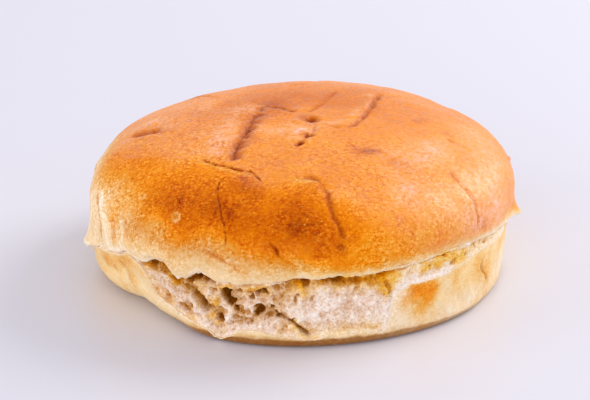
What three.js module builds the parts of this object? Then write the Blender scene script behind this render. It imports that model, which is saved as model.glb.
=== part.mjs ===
// A round soft teacake: a domed, browned crown over a paler heel, with a ragged lip where the two
// pulled apart, and a torn side where the white crumb is open to the air.
// Lengths are in millimetres and angles in degrees. Bearing 0 is +X, bearing 90 is +Y, and the torn
// side looks towards bearing 270. "Way" is the distance from the top, measured along the crust.
import * as THREE from "three";

// Crown: height of the whole, reach of its widest ring, height of its lip, how far the widest ring
// stands above that lip, and the powers that round its shoulder, each as [bearing, value]. A lower
// power makes a fuller shoulder.
const HEIGHT = 40;
const CROWN_REACH = [
  [0, 53.6], [30, 53.0], [60, 54.2], [90, 53.1], [120, 53.2], [150, 54.8],
  [180, 52.6], [205, 53.9], [235, 54.6], [270, 53.5], [300, 53.3], [330, 53.5],
];
const LIP_HEIGHT = [
  [0, 15.9], [30, 14.5], [60, 13.0], [90, 13.5], [120, 12.5], [150, 10.5], [178, 8.6], [198, 12.4],
  [213, 15.3], [222, 15.9], [232, 15.0], [255, 16.0], [268, 17.6], [283, 18.7], [300, 18.8],
  [322, 19.4], [342, 17.6],
];
const SKIRT_DEPTH = [[0, 6.0], [90, 5.0], [180, 3.5], [225, 4.0], [270, 4.4], [315, 5.4]];
const SHOULDER_REACH = [
  [0, 0.8], [45, 0.65], [90, 0.77], [135, 0.81], [180, 0.67], [225, 0.79], [270, 0.78], [315, 0.77],
];
const SHOULDER_RISE = [
  [0, 0.79], [45, 0.86], [90, 0.89], [135, 0.87], [180, 0.76], [225, 0.91], [270, 0.9], [315, 0.89],
];
const LIP_TUCK = 1.4;

// Heel: reach of its top edge and of its foot, and the round between its side and its flat base
const HEEL_REACH = [
  [0, 52.3], [45, 52.0], [135, 52.1], [180, 52.4], [200, 53.7], [220, 52.9],
  [250, 52.6], [290, 52.0], [330, 52.7],
];
const FOOT_REACH = [
  [0, 50.7], [45, 50.4], [90, 50.0], [135, 50.0], [180, 51.8], [205, 50.9],
  [222, 49.5], [240, 49.8], [260, 50.8], [285, 50.4], [320, 50.7],
];
const FOOT_ROUND = [
  [0, 1.3], [90, 2.6], [150, 4.0], [190, 6.8], [210, 8.8],
  [225, 4.9], [240, 2.2], [262, 1.2], [300, 2.0], [330, 2.0],
];

// Lip: its thickness, the groove under it, its ragged waves, the flakes that stick out of it, and the
// notches that rise into it or, below zero, the tips that hang from it
const LIP_THICKNESS = 0.7;
const GROOVE_DEPTH = 2.2;
const LIP_RAGGED_REACH = 0.7;
const LIP_RAGGED_HEIGHT = 0.45;
const LIP_WAVES = 46;
const LIP_FADE = 3;
const LIP_FLAKES = [
  { bearing: 192, spread: 14.0, reach: 3.0 },
  { bearing: 352, spread: 3.0, reach: 3.4 },
  { bearing: 219, spread: 2.5, reach: 0.9 },
  { bearing: 118, spread: 4.0, reach: 1.0 },
  { bearing: 61, spread: 3.0, reach: 0.8 },
];
const LIP_NOTCHES = [
  { bearing: 226, spread: 4.0, rise: 1.1 },
  { bearing: 232.2, spread: 2.2, rise: 2.7 },
  { bearing: 238.8, spread: 2.0, rise: -1.5 },
];

// Torn side: height of the heel crust's broken edge, as [bearing, height]. Elsewhere that edge
// runs CLOSED_GAP under the lip.
const BROKEN_EDGE = [
  [222, 15.0], [223.5, 10.1], [225, 7.6], [229.5, 5.5], [235, 5.0], [241, 3.4], [245, 0.9],
  [248, 0.9], [251.5, 1.7], [253.5, 3.2], [257, 4.3], [262, 3.4], [265, 4.1], [273.5, 2.5],
  [282.5, 2.6], [289, 2.3], [294.3, 1.9], [295.6, 12.5], [302.5, 14.0], [308.5, 14.0], [316, 14.0],
  [319, 17.0], [326, 16.1], [335.5, 15.0], [340.5, 15.2], [347, 15.9],
];
const CLOSED_GAP = 1.0;
const CRUST_THICKNESS = 1.1;
const EDGE_SOFTNESS = 1.0;
const CRUMB_UNDERCUT = 2.4;
const CRUMB_LUMPS = 0.8;

// Holes in the open crumb: where they are, half their width and height, and how deep they go
const CRUMB_HOLES = [
  { bearing: 228.0, height: 14.6, wide: 2.6, tall: 1.6, deep: 1.6 },
  { bearing: 234.5, height: 14.4, wide: 1.8, tall: 1.2, deep: 1.4 },
  { bearing: 241.0, height: 11.4, wide: 1.2, tall: 3.4, deep: 1.5 },
  { bearing: 243.0, height: 15.0, wide: 1.8, tall: 0.9, deep: 1.6 },
  { bearing: 248.0, height: 5.8, wide: 1.6, tall: 1.2, deep: 1.3 },
  { bearing: 251.5, height: 12.5, wide: 1.7, tall: 2.1, deep: 2.6 },
  { bearing: 258.5, height: 13.6, wide: 2.0, tall: 1.3, deep: 1.9 },
  { bearing: 259.0, height: 9.1, wide: 1.5, tall: 1.7, deep: 2.2 },
  { bearing: 269.0, height: 12.1, wide: 1.0, tall: 1.4, deep: 1.2 },
  { bearing: 272.5, height: 17.2, wide: 2.6, tall: 1.2, deep: 1.8 },
  { bearing: 278.5, height: 16.3, wide: 2.0, tall: 1.5, deep: 1.5 },
  { bearing: 285.0, height: 16.5, wide: 1.6, tall: 1.5, deep: 1.6 },
  { bearing: 289.5, height: 16.8, wide: 1.2, tall: 1.2, deep: 1.3 },
  { bearing: 293.3, height: 14.6, wide: 1.2, tall: 2.4, deep: 1.4 },
];

// Crack through the open crumb, as [bearing, height], and the creases of the heel crust
const CRUMB_CRACK = { width: 0.9, height: -1.0, path: [[262.5, 9.4], [266.5, 6.5], [269, 5.2], [273, 2.2]] };
const HEEL_CREASES = [
  { width: 1.2, height: -0.5, path: [[215, 14.5], [213.5, 10.8], [212.5, 6.8]] },
  { width: 1.2, height: -0.5, path: [[327, 13.1], [330, 8.9], [334, 4.8]] },
  { width: 1.4, height: -0.4, path: [[203, 10.2], [200, 8.0]] },
  { width: 1.5, height: -0.4, path: [[24, 12.0], [22, 7.5], [25, 4.0]] },
  { width: 1.5, height: -0.5, path: [[74, 10.5], [78, 6.0], [76, 3.5]] },
  { width: 1.3, height: -0.4, path: [[133, 9.5], [130, 6.5]] },
];

// Marks on the crown, each a line of [bearing, way]: a negative height is a crease or a dent, and a
// positive one a fold, a blister or a ridge
const CROWN_MARKS = [
  { width: 1.4, height: -1.0, path: [[239.5, 31.3], [234, 24.6], [223.5, 17.4], [202.5, 12], [176, 9.8]] },
  { width: 2.6, height: 0.6, path: [[226, 26.6], [212, 19.6], [181, 13.8], [156, 12.9]] },
  { width: 1.2, height: -0.8, path: [[176, 9.8], [153, 7.1], [150, 3.9], [60, 1.6]] },
  { width: 1.5, height: -1.3, path: [[286, 4.5], [300.5, 5.8], [302.5, 8.7]] },
  { width: 1.1, height: -0.5, path: [[348, 1.6], [46.5, 6.5], [55.5, 11.9], [63.5, 21.8]] },
  { width: 1.2, height: -0.8, path: [[298.5, 9.7], [320.5, 14.8], [342.5, 15.2], [20.5, 19.1], [44, 28.7]] },
  { width: 2.2, height: 0.5, path: [[338, 7.5], [2, 11], [28, 15.5]] },
  { width: 1.2, height: -0.8, path: [[295, 7], [280, 12.7], [272.5, 17.4], [268, 21.2]] },
  { width: 3.6, height: 0.45, path: [[247, 10.5], [236, 15.5]] },
  { width: 1.1, height: -0.6, path: [[225.5, 34.1], [242.5, 34.9], [250.5, 35], [256.5, 38.8]] },
  { width: 1.1, height: -0.6, path: [[242.5, 37.5], [242, 42.5], [245.5, 47], [250.5, 55.4], [250, 57.9]] },
  { width: 1.2, height: -0.7, path: [[269, 35.7], [276, 37.4], [278.5, 43.5], [279, 49.2], [281, 57.3]] },
  { width: 1.5, height: 0.5, path: [[279.5, 56.8]] },
  { width: 1.2, height: -0.5, path: [[264, 53.9], [268, 59.9]] },
  { width: 1.3, height: -0.7, path: [[323, 44.8], [322.5, 48.1], [323, 52.1], [322, 61.5]] },
  { width: 2.0, height: 0.4, path: [[319.5, 46], [319, 53]] },
  { width: 2.2, height: -0.9, path: [[173.5, 43.9], [180, 38.3], [183.5, 34.2]] },
  { width: 2.4, height: 0.4, path: [[169.5, 40.7], [170.5, 36.1]] },
  { width: 1.4, height: 0.4, path: [[235, 52.7]] },
  { width: 1.3, height: 0.7, path: [[190.5, 56.9], [204.5, 60.3], [207.5, 66.1]] },
  { width: 1.3, height: -0.6, path: [[199, 58], [211, 61.5], [213.5, 65]] },
  { width: 1.3, height: 0.6, path: [[216, 57.4], [219, 61], [220, 64]] },
  { width: 1.3, height: -0.5, path: [[345, 37.2], [343, 39.5]] },
  { width: 1.4, height: -0.7, path: [[96, 27], [83, 33], [79, 42], [84, 50]] },
  { width: 1.4, height: -0.6, path: [[140, 30], [134, 38], [137, 47], [133, 56]] },
  { width: 1.5, height: -0.6, path: [[28, 43], [33, 50], [31, 57]] },
];

// Soft unevenness of the crust: how high and how far apart
const CRUST_LUMPS = 0.45;
const CRUST_LUMP_PITCH = 17;
const CRUMB_LUMP_PITCH = 2.6;
const SEED = 20117;

// Fineness of the surface. Vertices crowd together on the torn side, at FRONT.
const CROWN_RINGS = 24;
const WALL_ROWS = 12;
const FOOT_ROWS = 2;
const PROFILE_STEPS = 48;
const SKIRT_STEPS = 6;
const FRONT = 262;
const FRONT_CROWDING = 20;

const radians = THREE.MathUtils.degToRad;

// Smooth value between the [bearing, value] pairs of a table that closes on itself
function around(table, bearing) {
  const turned = ((bearing % 360) + 360) % 360;
  const count = table.length;
  const pair = (index) => {
    const lap = Math.floor(index / count);
    const [at, value] = table[index - lap * count];
    return [at + 360 * lap, value];
  };
  let low = -1;
  while (pair(low + 1)[0] <= turned) low += 1;
  const [before, start, end, after] = [low - 1, low, low + 1, low + 2].map(pair);
  const gap = end[0] - start[0];
  const startSlope = ((end[1] - before[1]) / (end[0] - before[0])) * gap;
  const endSlope = ((after[1] - start[1]) / (after[0] - start[0])) * gap;
  const t = (turned - start[0]) / gap;
  const t2 = t * t;
  const t3 = t2 * t;
  return (2 * t3 - 3 * t2 + 1) * start[1] + (t3 - 2 * t2 + t) * startSlope
    + (3 * t2 - 2 * t3) * end[1] + (t3 - t2) * endSlope;
}

function smooth(low, high, value) {
  return THREE.MathUtils.smoothstep(value, low, high);
}

// Repeatable number from 0 to 1 for a whole-number grid point
function draw(x, y, z) {
  let mixed = Math.imul(x, 374761393) ^ Math.imul(y, 668265263) ^ Math.imul(z, 461845907) ^ SEED;
  mixed = Math.imul(mixed ^ (mixed >>> 13), 1274126177);
  return ((mixed ^ (mixed >>> 16)) >>> 0) / 4294967296;
}

// Smooth unevenness from -1 to 1 at a point, with lumps one unit apart
function lumps(x, y, z) {
  const cell = [x, y, z].map(Math.floor);
  const [fx, fy, fz] = [x, y, z].map((value, axis) => smooth(0, 1, value - cell[axis]));
  let sum = 0;
  for (const [dx, wx] of [[0, 1 - fx], [1, fx]]) {
    for (const [dy, wy] of [[0, 1 - fy], [1, fy]]) {
      for (const [dz, wz] of [[0, 1 - fz], [1, fz]]) {
        sum += wx * wy * wz * draw(cell[0] + dx, cell[1] + dy, cell[2] + dz);
      }
    }
  }
  return 2 * sum - 1;
}

function lumpsAt(point, pitch) {
  return lumps(point.x / pitch, point.y / pitch, point.z / pitch);
}

function onCircle(bearing, radius, height) {
  return new THREE.Vector3(radius * Math.cos(radians(bearing)), radius * Math.sin(radians(bearing)), height);
}

// The lip wanders up, down, in and out as it goes round, and a few flakes stick out of it
function lipWander(bearing, row) {
  const step = (LIP_WAVES * (((bearing % 360) + 360) % 360)) / 360;
  const cell = Math.floor(step);
  const blend = smooth(0, 1, step - cell);
  return 2 * ((1 - blend) * draw(cell, row, 0) + blend * draw((cell + 1) % LIP_WAVES, row, 0)) - 1;
}

function turnBetween(bearing, other) {
  return ((bearing - other + 540) % 360) - 180;
}

// 1 at a place on the lip, fading to 0 beside it
function bell(bearing, { bearing: place, spread }) {
  return Math.exp(-((turnBetween(bearing, place) / spread) ** 2));
}

function lipHeight(bearing) {
  const height = around(LIP_HEIGHT, bearing) + LIP_RAGGED_HEIGHT * lipWander(bearing, 1);
  return LIP_NOTCHES.reduce((sum, notch) => sum + notch.rise * bell(bearing, notch), height);
}

function lipReach(bearing) {
  const reach = LIP_RAGGED_REACH * lipWander(bearing, 2);
  return LIP_FLAKES.reduce((sum, flake) => sum + flake.reach * bell(bearing, flake), reach);
}

// Section of the smooth crown from the top to the lip, as points { radius, height, way }
function crownSection(bearing) {
  const reach = around(CROWN_REACH, bearing);
  const lip = lipHeight(bearing);
  const widest = around(LIP_HEIGHT, bearing) + around(SKIRT_DEPTH, bearing);
  const shoulderReach = around(SHOULDER_REACH, bearing);
  const shoulderRise = around(SHOULDER_RISE, bearing);
  const section = [];
  const add = (radius, height) => {
    const last = section.at(-1);
    const way = last ? last.way + Math.hypot(radius - last.radius, height - last.height) : 0;
    section.push({ radius, height, way });
  };
  for (let step = 0; step <= PROFILE_STEPS; step += 1) {
    const rise = (Math.PI / 2) * (1 - step / PROFILE_STEPS);
    const out = step === 0 ? 0 : Math.cos(rise) ** shoulderReach;
    add(reach * out, widest + (HEIGHT - widest) * Math.sin(rise) ** shoulderRise);
  }
  for (let step = 1; step <= SKIRT_STEPS; step += 1) {
    const down = step / SKIRT_STEPS;
    add(reach - (LIP_TUCK - lipReach(bearing)) * down * down, widest + (lip - widest) * down);
  }
  return section;
}

function pointOnSection(section, bearing, way) {
  let index = 1;
  while (index < section.length - 1 && section[index].way < way) index += 1;
  const [above, below] = [section[index - 1], section[index]];
  const t = (way - above.way) / (below.way - above.way);
  const radius = above.radius + t * (below.radius - above.radius);
  return onCircle(bearing, radius, above.height + t * (below.height - above.height));
}

function crownPoint(bearing, way) {
  return pointOnSection(crownSection(bearing), bearing, way);
}

function crownNormal(bearing, way) {
  const reachAlong = 0.8;
  const turn = 1.5;
  const along = crownPoint(bearing, way + reachAlong).sub(crownPoint(bearing, Math.max(way - reachAlong, 0)));
  const round = crownPoint(bearing + turn, way).sub(crownPoint(bearing - turn, way));
  return along.cross(round).normalize();
}

// A mark as a row of close points in space, through the places that its path names
function traceMark(mark, place) {
  const stops = mark.path.map(([bearing, way]) => place(bearing, way));
  const points = stops.length > 1 ? new THREE.CatmullRomCurve3(stops).getPoints(12 * stops.length) : stops;
  return { ...mark, points };
}

function markHeight(marks, point) {
  let height = 0;
  for (const mark of marks) {
    const away = Math.min(...mark.points.map((other) => other.distanceTo(point)));
    height += mark.height * Math.exp(-((away / mark.width) ** 2));
  }
  return height;
}

// Radius of the heel's side at a height above the floor
function heelRadius(bearing, height) {
  const foot = around(FOOT_REACH, bearing);
  const round = around(FOOT_ROUND, bearing);
  if (height < round) {
    return foot - round + Math.sqrt(round ** 2 - (round - height) ** 2);
  }
  const lean = (around(HEEL_REACH, bearing) - foot) / (around(LIP_HEIGHT, bearing) - round);
  return foot + lean * (height - round);
}

// Height of the heel crust's upper edge: broken low on the torn side, just under the lip elsewhere
function crustEdge(bearing) {
  const closed = lipHeight(bearing) - CLOSED_GAP;
  const next = BROKEN_EDGE.findIndex(([at]) => at > bearing);
  if (next < 1) {
    return closed;
  }
  const [[fromBearing, from], [toBearing, to]] = BROKEN_EDGE.slice(next - 1, next + 1);
  return Math.min(closed, from + ((to - from) * (bearing - fromBearing)) / (toBearing - fromBearing));
}

// How far the open crumb lies inside the heel's side
function crumbDepth(bearing, height) {
  const edge = crustEdge(bearing);
  const lip = lipHeight(bearing);
  const open = smooth(edge - EDGE_SOFTNESS / 2, edge + EDGE_SOFTNESS / 2, height);
  const wide = smooth(1.5, 5, lip - edge);
  const side = onCircle(bearing, heelRadius(bearing, height), height);
  let depth = CRUST_THICKNESS + wide * CRUMB_UNDERCUT * smooth(lip - 4, lip - 0.5, height);
  depth += wide * CRUMB_LUMPS * lumpsAt(side, CRUMB_LUMP_PITCH);
  for (const hole of CRUMB_HOLES) {
    const across = (radians(turnBetween(bearing, hole.bearing)) * around(FOOT_REACH, bearing)) / hole.wide;
    const up = (height - hole.height) / hole.tall;
    depth += wide * hole.deep * Math.exp(-(across ** 2 + up ** 2));
  }
  return open * depth;
}

const crownMarks = CROWN_MARKS.map((mark) => traceMark(mark, crownPoint));
const heelPlace = (bearing, height) => onCircle(bearing, heelRadius(bearing, height), height);
const heelMarks = [...HEEL_CREASES, CRUMB_CRACK].map((mark) => traceMark(mark, heelPlace));

// Crown vertex: the smooth point moved along its normal by lumps and marks, both fading at the lip
function crownVertex(bearing, share) {
  const section = crownSection(bearing);
  const length = section.at(-1).way;
  const way = share * length;
  const point = pointOnSection(section, bearing, way);
  const normal = share === 0 ? new THREE.Vector3(0, 0, 1) : crownNormal(bearing, way);
  const fade = 1 - smooth(length - LIP_FADE, length, way);
  const relief = CRUST_LUMPS * lumpsAt(point, CRUST_LUMP_PITCH) + markHeight(crownMarks, point);
  return point.addScaledVector(normal, relief * fade);
}

// Rows of the heel below the lip: the lip's edge, the groove behind it, the side and the foot
function heelColumn(bearing) {
  const lip = lipHeight(bearing);
  const lipRadius = around(CROWN_REACH, bearing) - LIP_TUCK + lipReach(bearing);
  const round = around(FOOT_ROUND, bearing);
  const sideTop = lip - LIP_THICKNESS - 0.5;
  const rows = [
    onCircle(bearing, lipRadius - 0.4, lip - LIP_THICKNESS),
    onCircle(bearing, heelRadius(bearing, lip) - GROOVE_DEPTH, lip - LIP_THICKNESS + 0.1),
  ];
  for (let row = 0; row <= WALL_ROWS; row += 1) {
    const height = sideTop + ((round - sideTop) * row) / WALL_ROWS;
    const point = heelPlace(bearing, height);
    const crust = CRUST_LUMPS * lumpsAt(point, CRUST_LUMP_PITCH) * smooth(round, round + 3, height);
    const relief = crust + markHeight(heelMarks, point) - crumbDepth(bearing, height);
    rows.push(onCircle(bearing, heelRadius(bearing, height) + relief, height));
  }
  for (let row = 1; row <= FOOT_ROWS; row += 1) {
    const height = round * (1 - Math.sin((Math.PI / 2) * (row / FOOT_ROWS)));
    rows.push(onCircle(bearing, heelRadius(bearing, height) - crumbDepth(bearing, height), height));
  }
  return rows;
}

function crowded(angle) {
  return (angle - FRONT_CROWDING * Math.sin(radians(angle - FRONT)) + 360) % 360;
}

// The crown is a square grid wound into rings, so that its triangles stay even up to the top. Ring
// k holds 8k vertices, and this is the angle of the grid point (x, y). Each square of the grid is
// split towards the middle, because a split across would leave slivers where the grid has its corners.
function ringAngle(x, y) {
  const ring = Math.max(Math.abs(x), Math.abs(y));
  if (ring === 0) return 0;
  if (x === ring) return (45 * y) / ring;
  if (y === ring) return 90 - (45 * x) / ring;
  if (x === -ring) return 180 - (45 * y) / ring;
  return 270 + (45 * x) / ring;
}

function teacakeGeometry() {
  const vertices = [];
  const triangles = [];
  const numbers = new Map();
  const quad = (a, b, c, d) => triangles.push(a, b, c, a, c, d);

  for (let y = -CROWN_RINGS; y <= CROWN_RINGS; y += 1) {
    for (let x = -CROWN_RINGS; x <= CROWN_RINGS; x += 1) {
      numbers.set(`${x},${y}`, vertices.length);
      const share = Math.max(Math.abs(x), Math.abs(y)) / CROWN_RINGS;
      vertices.push(crownVertex(crowded(ringAngle(x, y)), share));
    }
  }
  const numberAt = (x, y) => numbers.get(`${x},${y}`);
  for (let y = -CROWN_RINGS; y < CROWN_RINGS; y += 1) {
    for (let x = -CROWN_RINGS; x < CROWN_RINGS; x += 1) {
      const corners = [numberAt(x, y), numberAt(x + 1, y), numberAt(x + 1, y + 1), numberAt(x, y + 1)];
      if (x < 0 !== y < 0) corners.push(corners.shift());
      quad(...corners);
    }
  }

  // Outermost ring of the crown, walked once round
  const rim = [];
  for (let step = -CROWN_RINGS; step < CROWN_RINGS; step += 1) rim.push([CROWN_RINGS, step]);
  for (let step = CROWN_RINGS; step > -CROWN_RINGS; step -= 1) rim.push([step, CROWN_RINGS]);
  for (let step = CROWN_RINGS; step > -CROWN_RINGS; step -= 1) rim.push([-CROWN_RINGS, step]);
  for (let step = -CROWN_RINGS; step < CROWN_RINGS; step += 1) rim.push([step, -CROWN_RINGS]);

  let above = rim.map(([x, y]) => numberAt(x, y));
  const columns = rim.map(([x, y]) => heelColumn(crowded(ringAngle(x, y))));
  for (let row = 0; row < columns[0].length; row += 1) {
    const below = columns.map((column) => vertices.push(column[row]) - 1);
    below.forEach((number, column) => {
      const next = (column + 1) % below.length;
      quad(above[column], number, below[next], above[next]);
    });
    above = below;
  }
  const baseCentre = vertices.push(new THREE.Vector3(0, 0, 0)) - 1;
  above.forEach((number, column) => {
    triangles.push(number, baseCentre, above[(column + 1) % above.length]);
  });

  const geometry = new THREE.BufferGeometry().setFromPoints(vertices);
  geometry.setIndex(triangles);
  geometry.computeBoundingBox();
  const middle = geometry.boundingBox.getCenter(new THREE.Vector3());
  geometry.translate(-middle.x, -middle.y, 0);
  geometry.computeVertexNormals();
  return geometry;
}

const crust = new THREE.MeshStandardMaterial({ color: 0xe9a45f, roughness: 0.6, metalness: 0 });
const teacake = new THREE.Mesh(teacakeGeometry(), crust);
teacake.name = "teacake";

const model = new THREE.Group();
model.add(teacake);

export default model;
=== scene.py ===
# %% [markdown]
# # A torn teacake
#
# This teacake is a soft round bun from a batch that was baked side by side and then pulled apart. It
# has three visible parts. The crown is the domed top, glazed brown, and it ends in a thin ragged lip.
# The heel is the lower half, which hardly browned because it touched its neighbours and the tray.
# Where the heel's thin crust was torn away, the white crumb is open to the air.
#
# Bread could be sculpted by hand, or a sphere could be pushed about by displacement textures. Here
# every surface is worked out with NumPy instead, from sizes in millimetres: the solid model that this
# scene dresses was made from the same sizes, so the two stay together, and each crease has a place.

# %% Load the frame
import math

import bpy
import numpy as np
from mathutils import Matrix, Vector


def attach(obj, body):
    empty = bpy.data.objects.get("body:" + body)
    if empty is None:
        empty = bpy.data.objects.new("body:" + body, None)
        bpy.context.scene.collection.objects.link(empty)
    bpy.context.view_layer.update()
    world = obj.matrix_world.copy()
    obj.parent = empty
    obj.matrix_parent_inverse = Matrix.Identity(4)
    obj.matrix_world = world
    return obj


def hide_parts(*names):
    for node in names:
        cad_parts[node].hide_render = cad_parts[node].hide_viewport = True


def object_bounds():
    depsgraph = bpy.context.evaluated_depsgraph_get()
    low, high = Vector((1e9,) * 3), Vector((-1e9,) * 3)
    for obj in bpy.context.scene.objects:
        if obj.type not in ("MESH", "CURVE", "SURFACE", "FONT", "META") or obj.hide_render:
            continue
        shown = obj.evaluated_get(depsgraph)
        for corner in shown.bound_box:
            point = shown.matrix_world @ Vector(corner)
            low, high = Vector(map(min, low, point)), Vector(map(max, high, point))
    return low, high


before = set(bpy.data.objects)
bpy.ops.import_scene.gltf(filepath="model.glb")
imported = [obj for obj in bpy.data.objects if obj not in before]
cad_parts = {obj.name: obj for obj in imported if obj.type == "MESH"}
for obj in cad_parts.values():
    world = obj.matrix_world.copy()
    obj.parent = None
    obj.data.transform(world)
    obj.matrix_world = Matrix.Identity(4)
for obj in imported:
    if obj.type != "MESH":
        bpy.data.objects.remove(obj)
cad_low, cad_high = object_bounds()
MM = 0.001


def span(values):
    """The least and the greatest value, to print."""
    return f"from {np.min(values):.2f} to {np.max(values):.2f}"


print("frame box in mm", [round(v / MM, 1) for v in (*cad_low, *cad_high)])

# %% [markdown]
# ## Sizes all the way round
#
# A bun is round, but not evenly so: its lip climbs and falls, and its foot is rounder on one side. Such
# a size is best kept as a short table of pairs, a bearing in degrees and a value in millimetres. A
# smooth curve that closes on itself fills in the rest. Bearing 0 points to the right of the picture,
# 90 to the back and 270 to the camera, where the torn side is.

# %% Smooth tables
def around(table, bearing):
    """The smooth value of a table of (bearing, value) pairs, which closes on itself after 360 degrees."""
    at, value = np.array(table, float).T
    at = np.concatenate([at[-2:] - 360, at, at[:3] + 360])
    value = np.concatenate([value[-2:], value, value[:3]])
    slope = np.zeros_like(value)
    slope[1:-1] = (value[2:] - value[:-2]) / (at[2:] - at[:-2])
    turned = np.asarray(bearing, float) % 360
    low = np.searchsorted(at, turned, side="right") - 1
    gap = at[low + 1] - at[low]
    t = (turned - at[low]) / gap
    rise = 3 * t**2 - 2 * t**3
    leaving = (t**3 - 2 * t**2 + t) * gap * slope[low]
    arriving = (t**3 - t**2) * gap * slope[low + 1]
    return value[low] * (1 - rise) + value[low + 1] * rise + leaving + arriving


def smooth(low, high, value):
    """A soft step from 0 to 1 as the value goes from low to high."""
    t = np.clip((np.asarray(value, float) - low) / (high - low), 0, 1)
    return t * t * (3 - 2 * t)


def on_circle(bearing, radius, height):
    """Points at a bearing, a radius and a height."""
    turn = np.radians(bearing)
    return np.stack([radius * np.cos(turn), radius * np.sin(turn), height + 0 * turn], axis=-1)


print("halfway between 10 at the right and 20 at the left:", around([(0, 10), (180, 20)], 90))

# %% Sizes of the crown
# Each table holds (bearing, value). The two shoulder tables are powers: a lower one is fuller.
HEIGHT = 40.0
CROWN_REACH = [
    (0, 53.6), (30, 53), (60, 54.2), (90, 53.1), (120, 53.2), (150, 54.8),
    (180, 52.6), (205, 53.9), (235, 54.6), (270, 53.5), (300, 53.3), (330, 53.5),
]
LIP_HEIGHT = [
    (0, 15.9), (30, 14.5), (60, 13), (90, 13.5), (120, 12.5), (150, 10.5), (178, 8.6), (198, 12.4),
    (213, 15.3), (224, 16.4), (245, 16.6), (256, 16.3), (268, 18), (283, 18.3), (300, 18.5),
    (322, 19.1), (342, 17.3),
]
SKIRT_DEPTH = [
    (0, 6), (90, 5), (165, 5), (180, 7.5), (192, 8.5), (205, 6), (225, 3.6), (248, 3.2),
    (270, 4), (315, 5.4),
]
SHOULDER_REACH = [
    (0, 0.8), (45, 0.65), (90, 0.77), (135, 0.81), (180, 0.72), (225, 0.79), (270, 0.78), (315, 0.77),
]
SHOULDER_RISE = [
    (0, 0.79), (45, 0.86), (90, 0.89), (135, 0.87), (180, 0.76), (225, 0.91), (270, 0.9), (315, 0.89),
]
LIP_TUCK = 1.4
print("the crown is about", 2 * CROWN_REACH[0][1], "mm across and", HEIGHT, "mm high")

# %% [markdown]
# ## Unevenness that repeats
#
# Bread is uneven at every scale. A random draw would give another bun on each run, so the numbers here
# come from the place itself: a whole-number grid point is mixed into a number from 0 to 1, always the
# same one. Blending the corners of a grid cell gives soft lumps. Keeping the distance to the nearest of
# many scattered centres gives round cells with sharp walls between them, which is what crumb is.

# %% Lumps and bubbles
SEED = 20117
LUMP_SHIFT = 37
BUBBLE_SHIFT = 53
CENTRE_DRAWS = (1000, 2000, 3000)


def draw(x, y, z):
    """A repeatable number from 0 to 1 for each whole-number grid point."""
    keep = 0xFFFFFFFF
    x, y, z = (np.asarray(v, np.int64) for v in (x, y, z))
    mixed = ((x * 374761393) ^ (y * 668265263) ^ (z * 461845907) ^ SEED) & keep
    mixed = ((mixed ^ (mixed >> 13)) * 1274126177) & keep
    return (mixed ^ (mixed >> 16)) / 2**32


def lumps(points, pitch, layer):
    """Soft lumps from -1 to 1, about a pitch apart."""
    places = points / pitch + layer * LUMP_SHIFT
    cell = np.floor(places).astype(np.int64)
    blend = smooth(0, 1, places - cell)
    total = np.zeros(points.shape[:-1])
    for corner in np.ndindex(2, 2, 2):
        weight = np.prod(np.where(np.array(corner) == 1, blend, 1 - blend), axis=-1)
        total += weight * draw(*np.moveaxis(cell + corner, -1, 0))
    return 2 * total - 1


def bubbles(points, pitch, layer):
    """Distance to the nearest of scattered centres, in pitches."""
    places = points / pitch + layer * BUBBLE_SHIFT
    home = np.floor(places).astype(np.int64)
    nearest = np.full(points.shape[:-1], np.inf)
    for step in np.ndindex(3, 3, 3):
        cell = home + np.array(step) - 1
        x, y, z = np.moveaxis(cell, -1, 0)
        centre = cell + np.stack([draw(x, y, z + drawn) for drawn in CENTRE_DRAWS], axis=-1)
        nearest = np.minimum(nearest, np.linalg.norm(centre - places, axis=-1))
    return nearest


def wander(bearing, waves, row):
    """A ragged line from -1 to 1 with a number of waves all the way round."""
    step = np.asarray(bearing, float) % 360 * waves / 360
    cell = np.floor(step).astype(np.int64)
    blend = smooth(0, 1, step - cell)
    zero = np.zeros_like(cell)
    start = draw(cell % waves, zero + row, zero)
    end = draw((cell + 1) % waves, zero + row, zero)
    return 2 * (start + blend * (end - start)) - 1


print("first draws", np.round(draw([0, 1, 2], [0, 0, 0], [0, 0, 0]), 3))

# %% [markdown]
# ## The lip
#
# The lip is where the crown's crust tore off its neighbours. It wanders in and out and up and down, it
# has a notch and a hanging tip on the left, and a few flakes stand out of it. It is a line rather than
# a surface, so it is made of waves round the bun and short lists of named notches and flakes.

# %% Lip line
LIP_RAGGED_REACH = 0.7
LIP_RAGGED_HEIGHT = [(0, 0.45), (200, 0.45), (225, 0.15), (340, 0.15), (352, 0.45)]
LIP_WAVES = 46
# waves all the way round, size
LIP_FINE = [(150, 0.16), (420, 0.1), (1000, 0.05)]
# bearing, spread in degrees, and how far it stands out or rises
LIP_FLAKES = [(192, 14, 3), (352, 3, 3.4), (219, 2.5, 0.9), (118, 4, 1), (61, 3, 0.8)]
LIP_NOTCHES = [
    (219.5, 3, 1.6), (224.6, 1.2, 0.2), (229.8, 3, 1.8), (232.8, 1.2, 1.1), (236.6, 1.8, -1.7),
    (239.4, 1.6, -0.9), (243.8, 2.2, 1.3), (248.6, 1.2, -0.5), (270.5, 2.5, 0.5), (283, 3, -0.5),
]


def turn_from(bearing, middle):
    """Degrees from the middle to the bearing, from -180 to 180."""
    return (np.asarray(bearing, float) - middle + 540) % 360 - 180


def bell(bearing, middle, spread):
    """1 at the middle bearing, and falling off over the spread."""
    return np.exp(-((turn_from(bearing, middle) / spread) ** 2))


def fine_waves(bearing, table, row):
    return sum(size * wander(bearing, waves, row) for waves, size in table)


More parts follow.
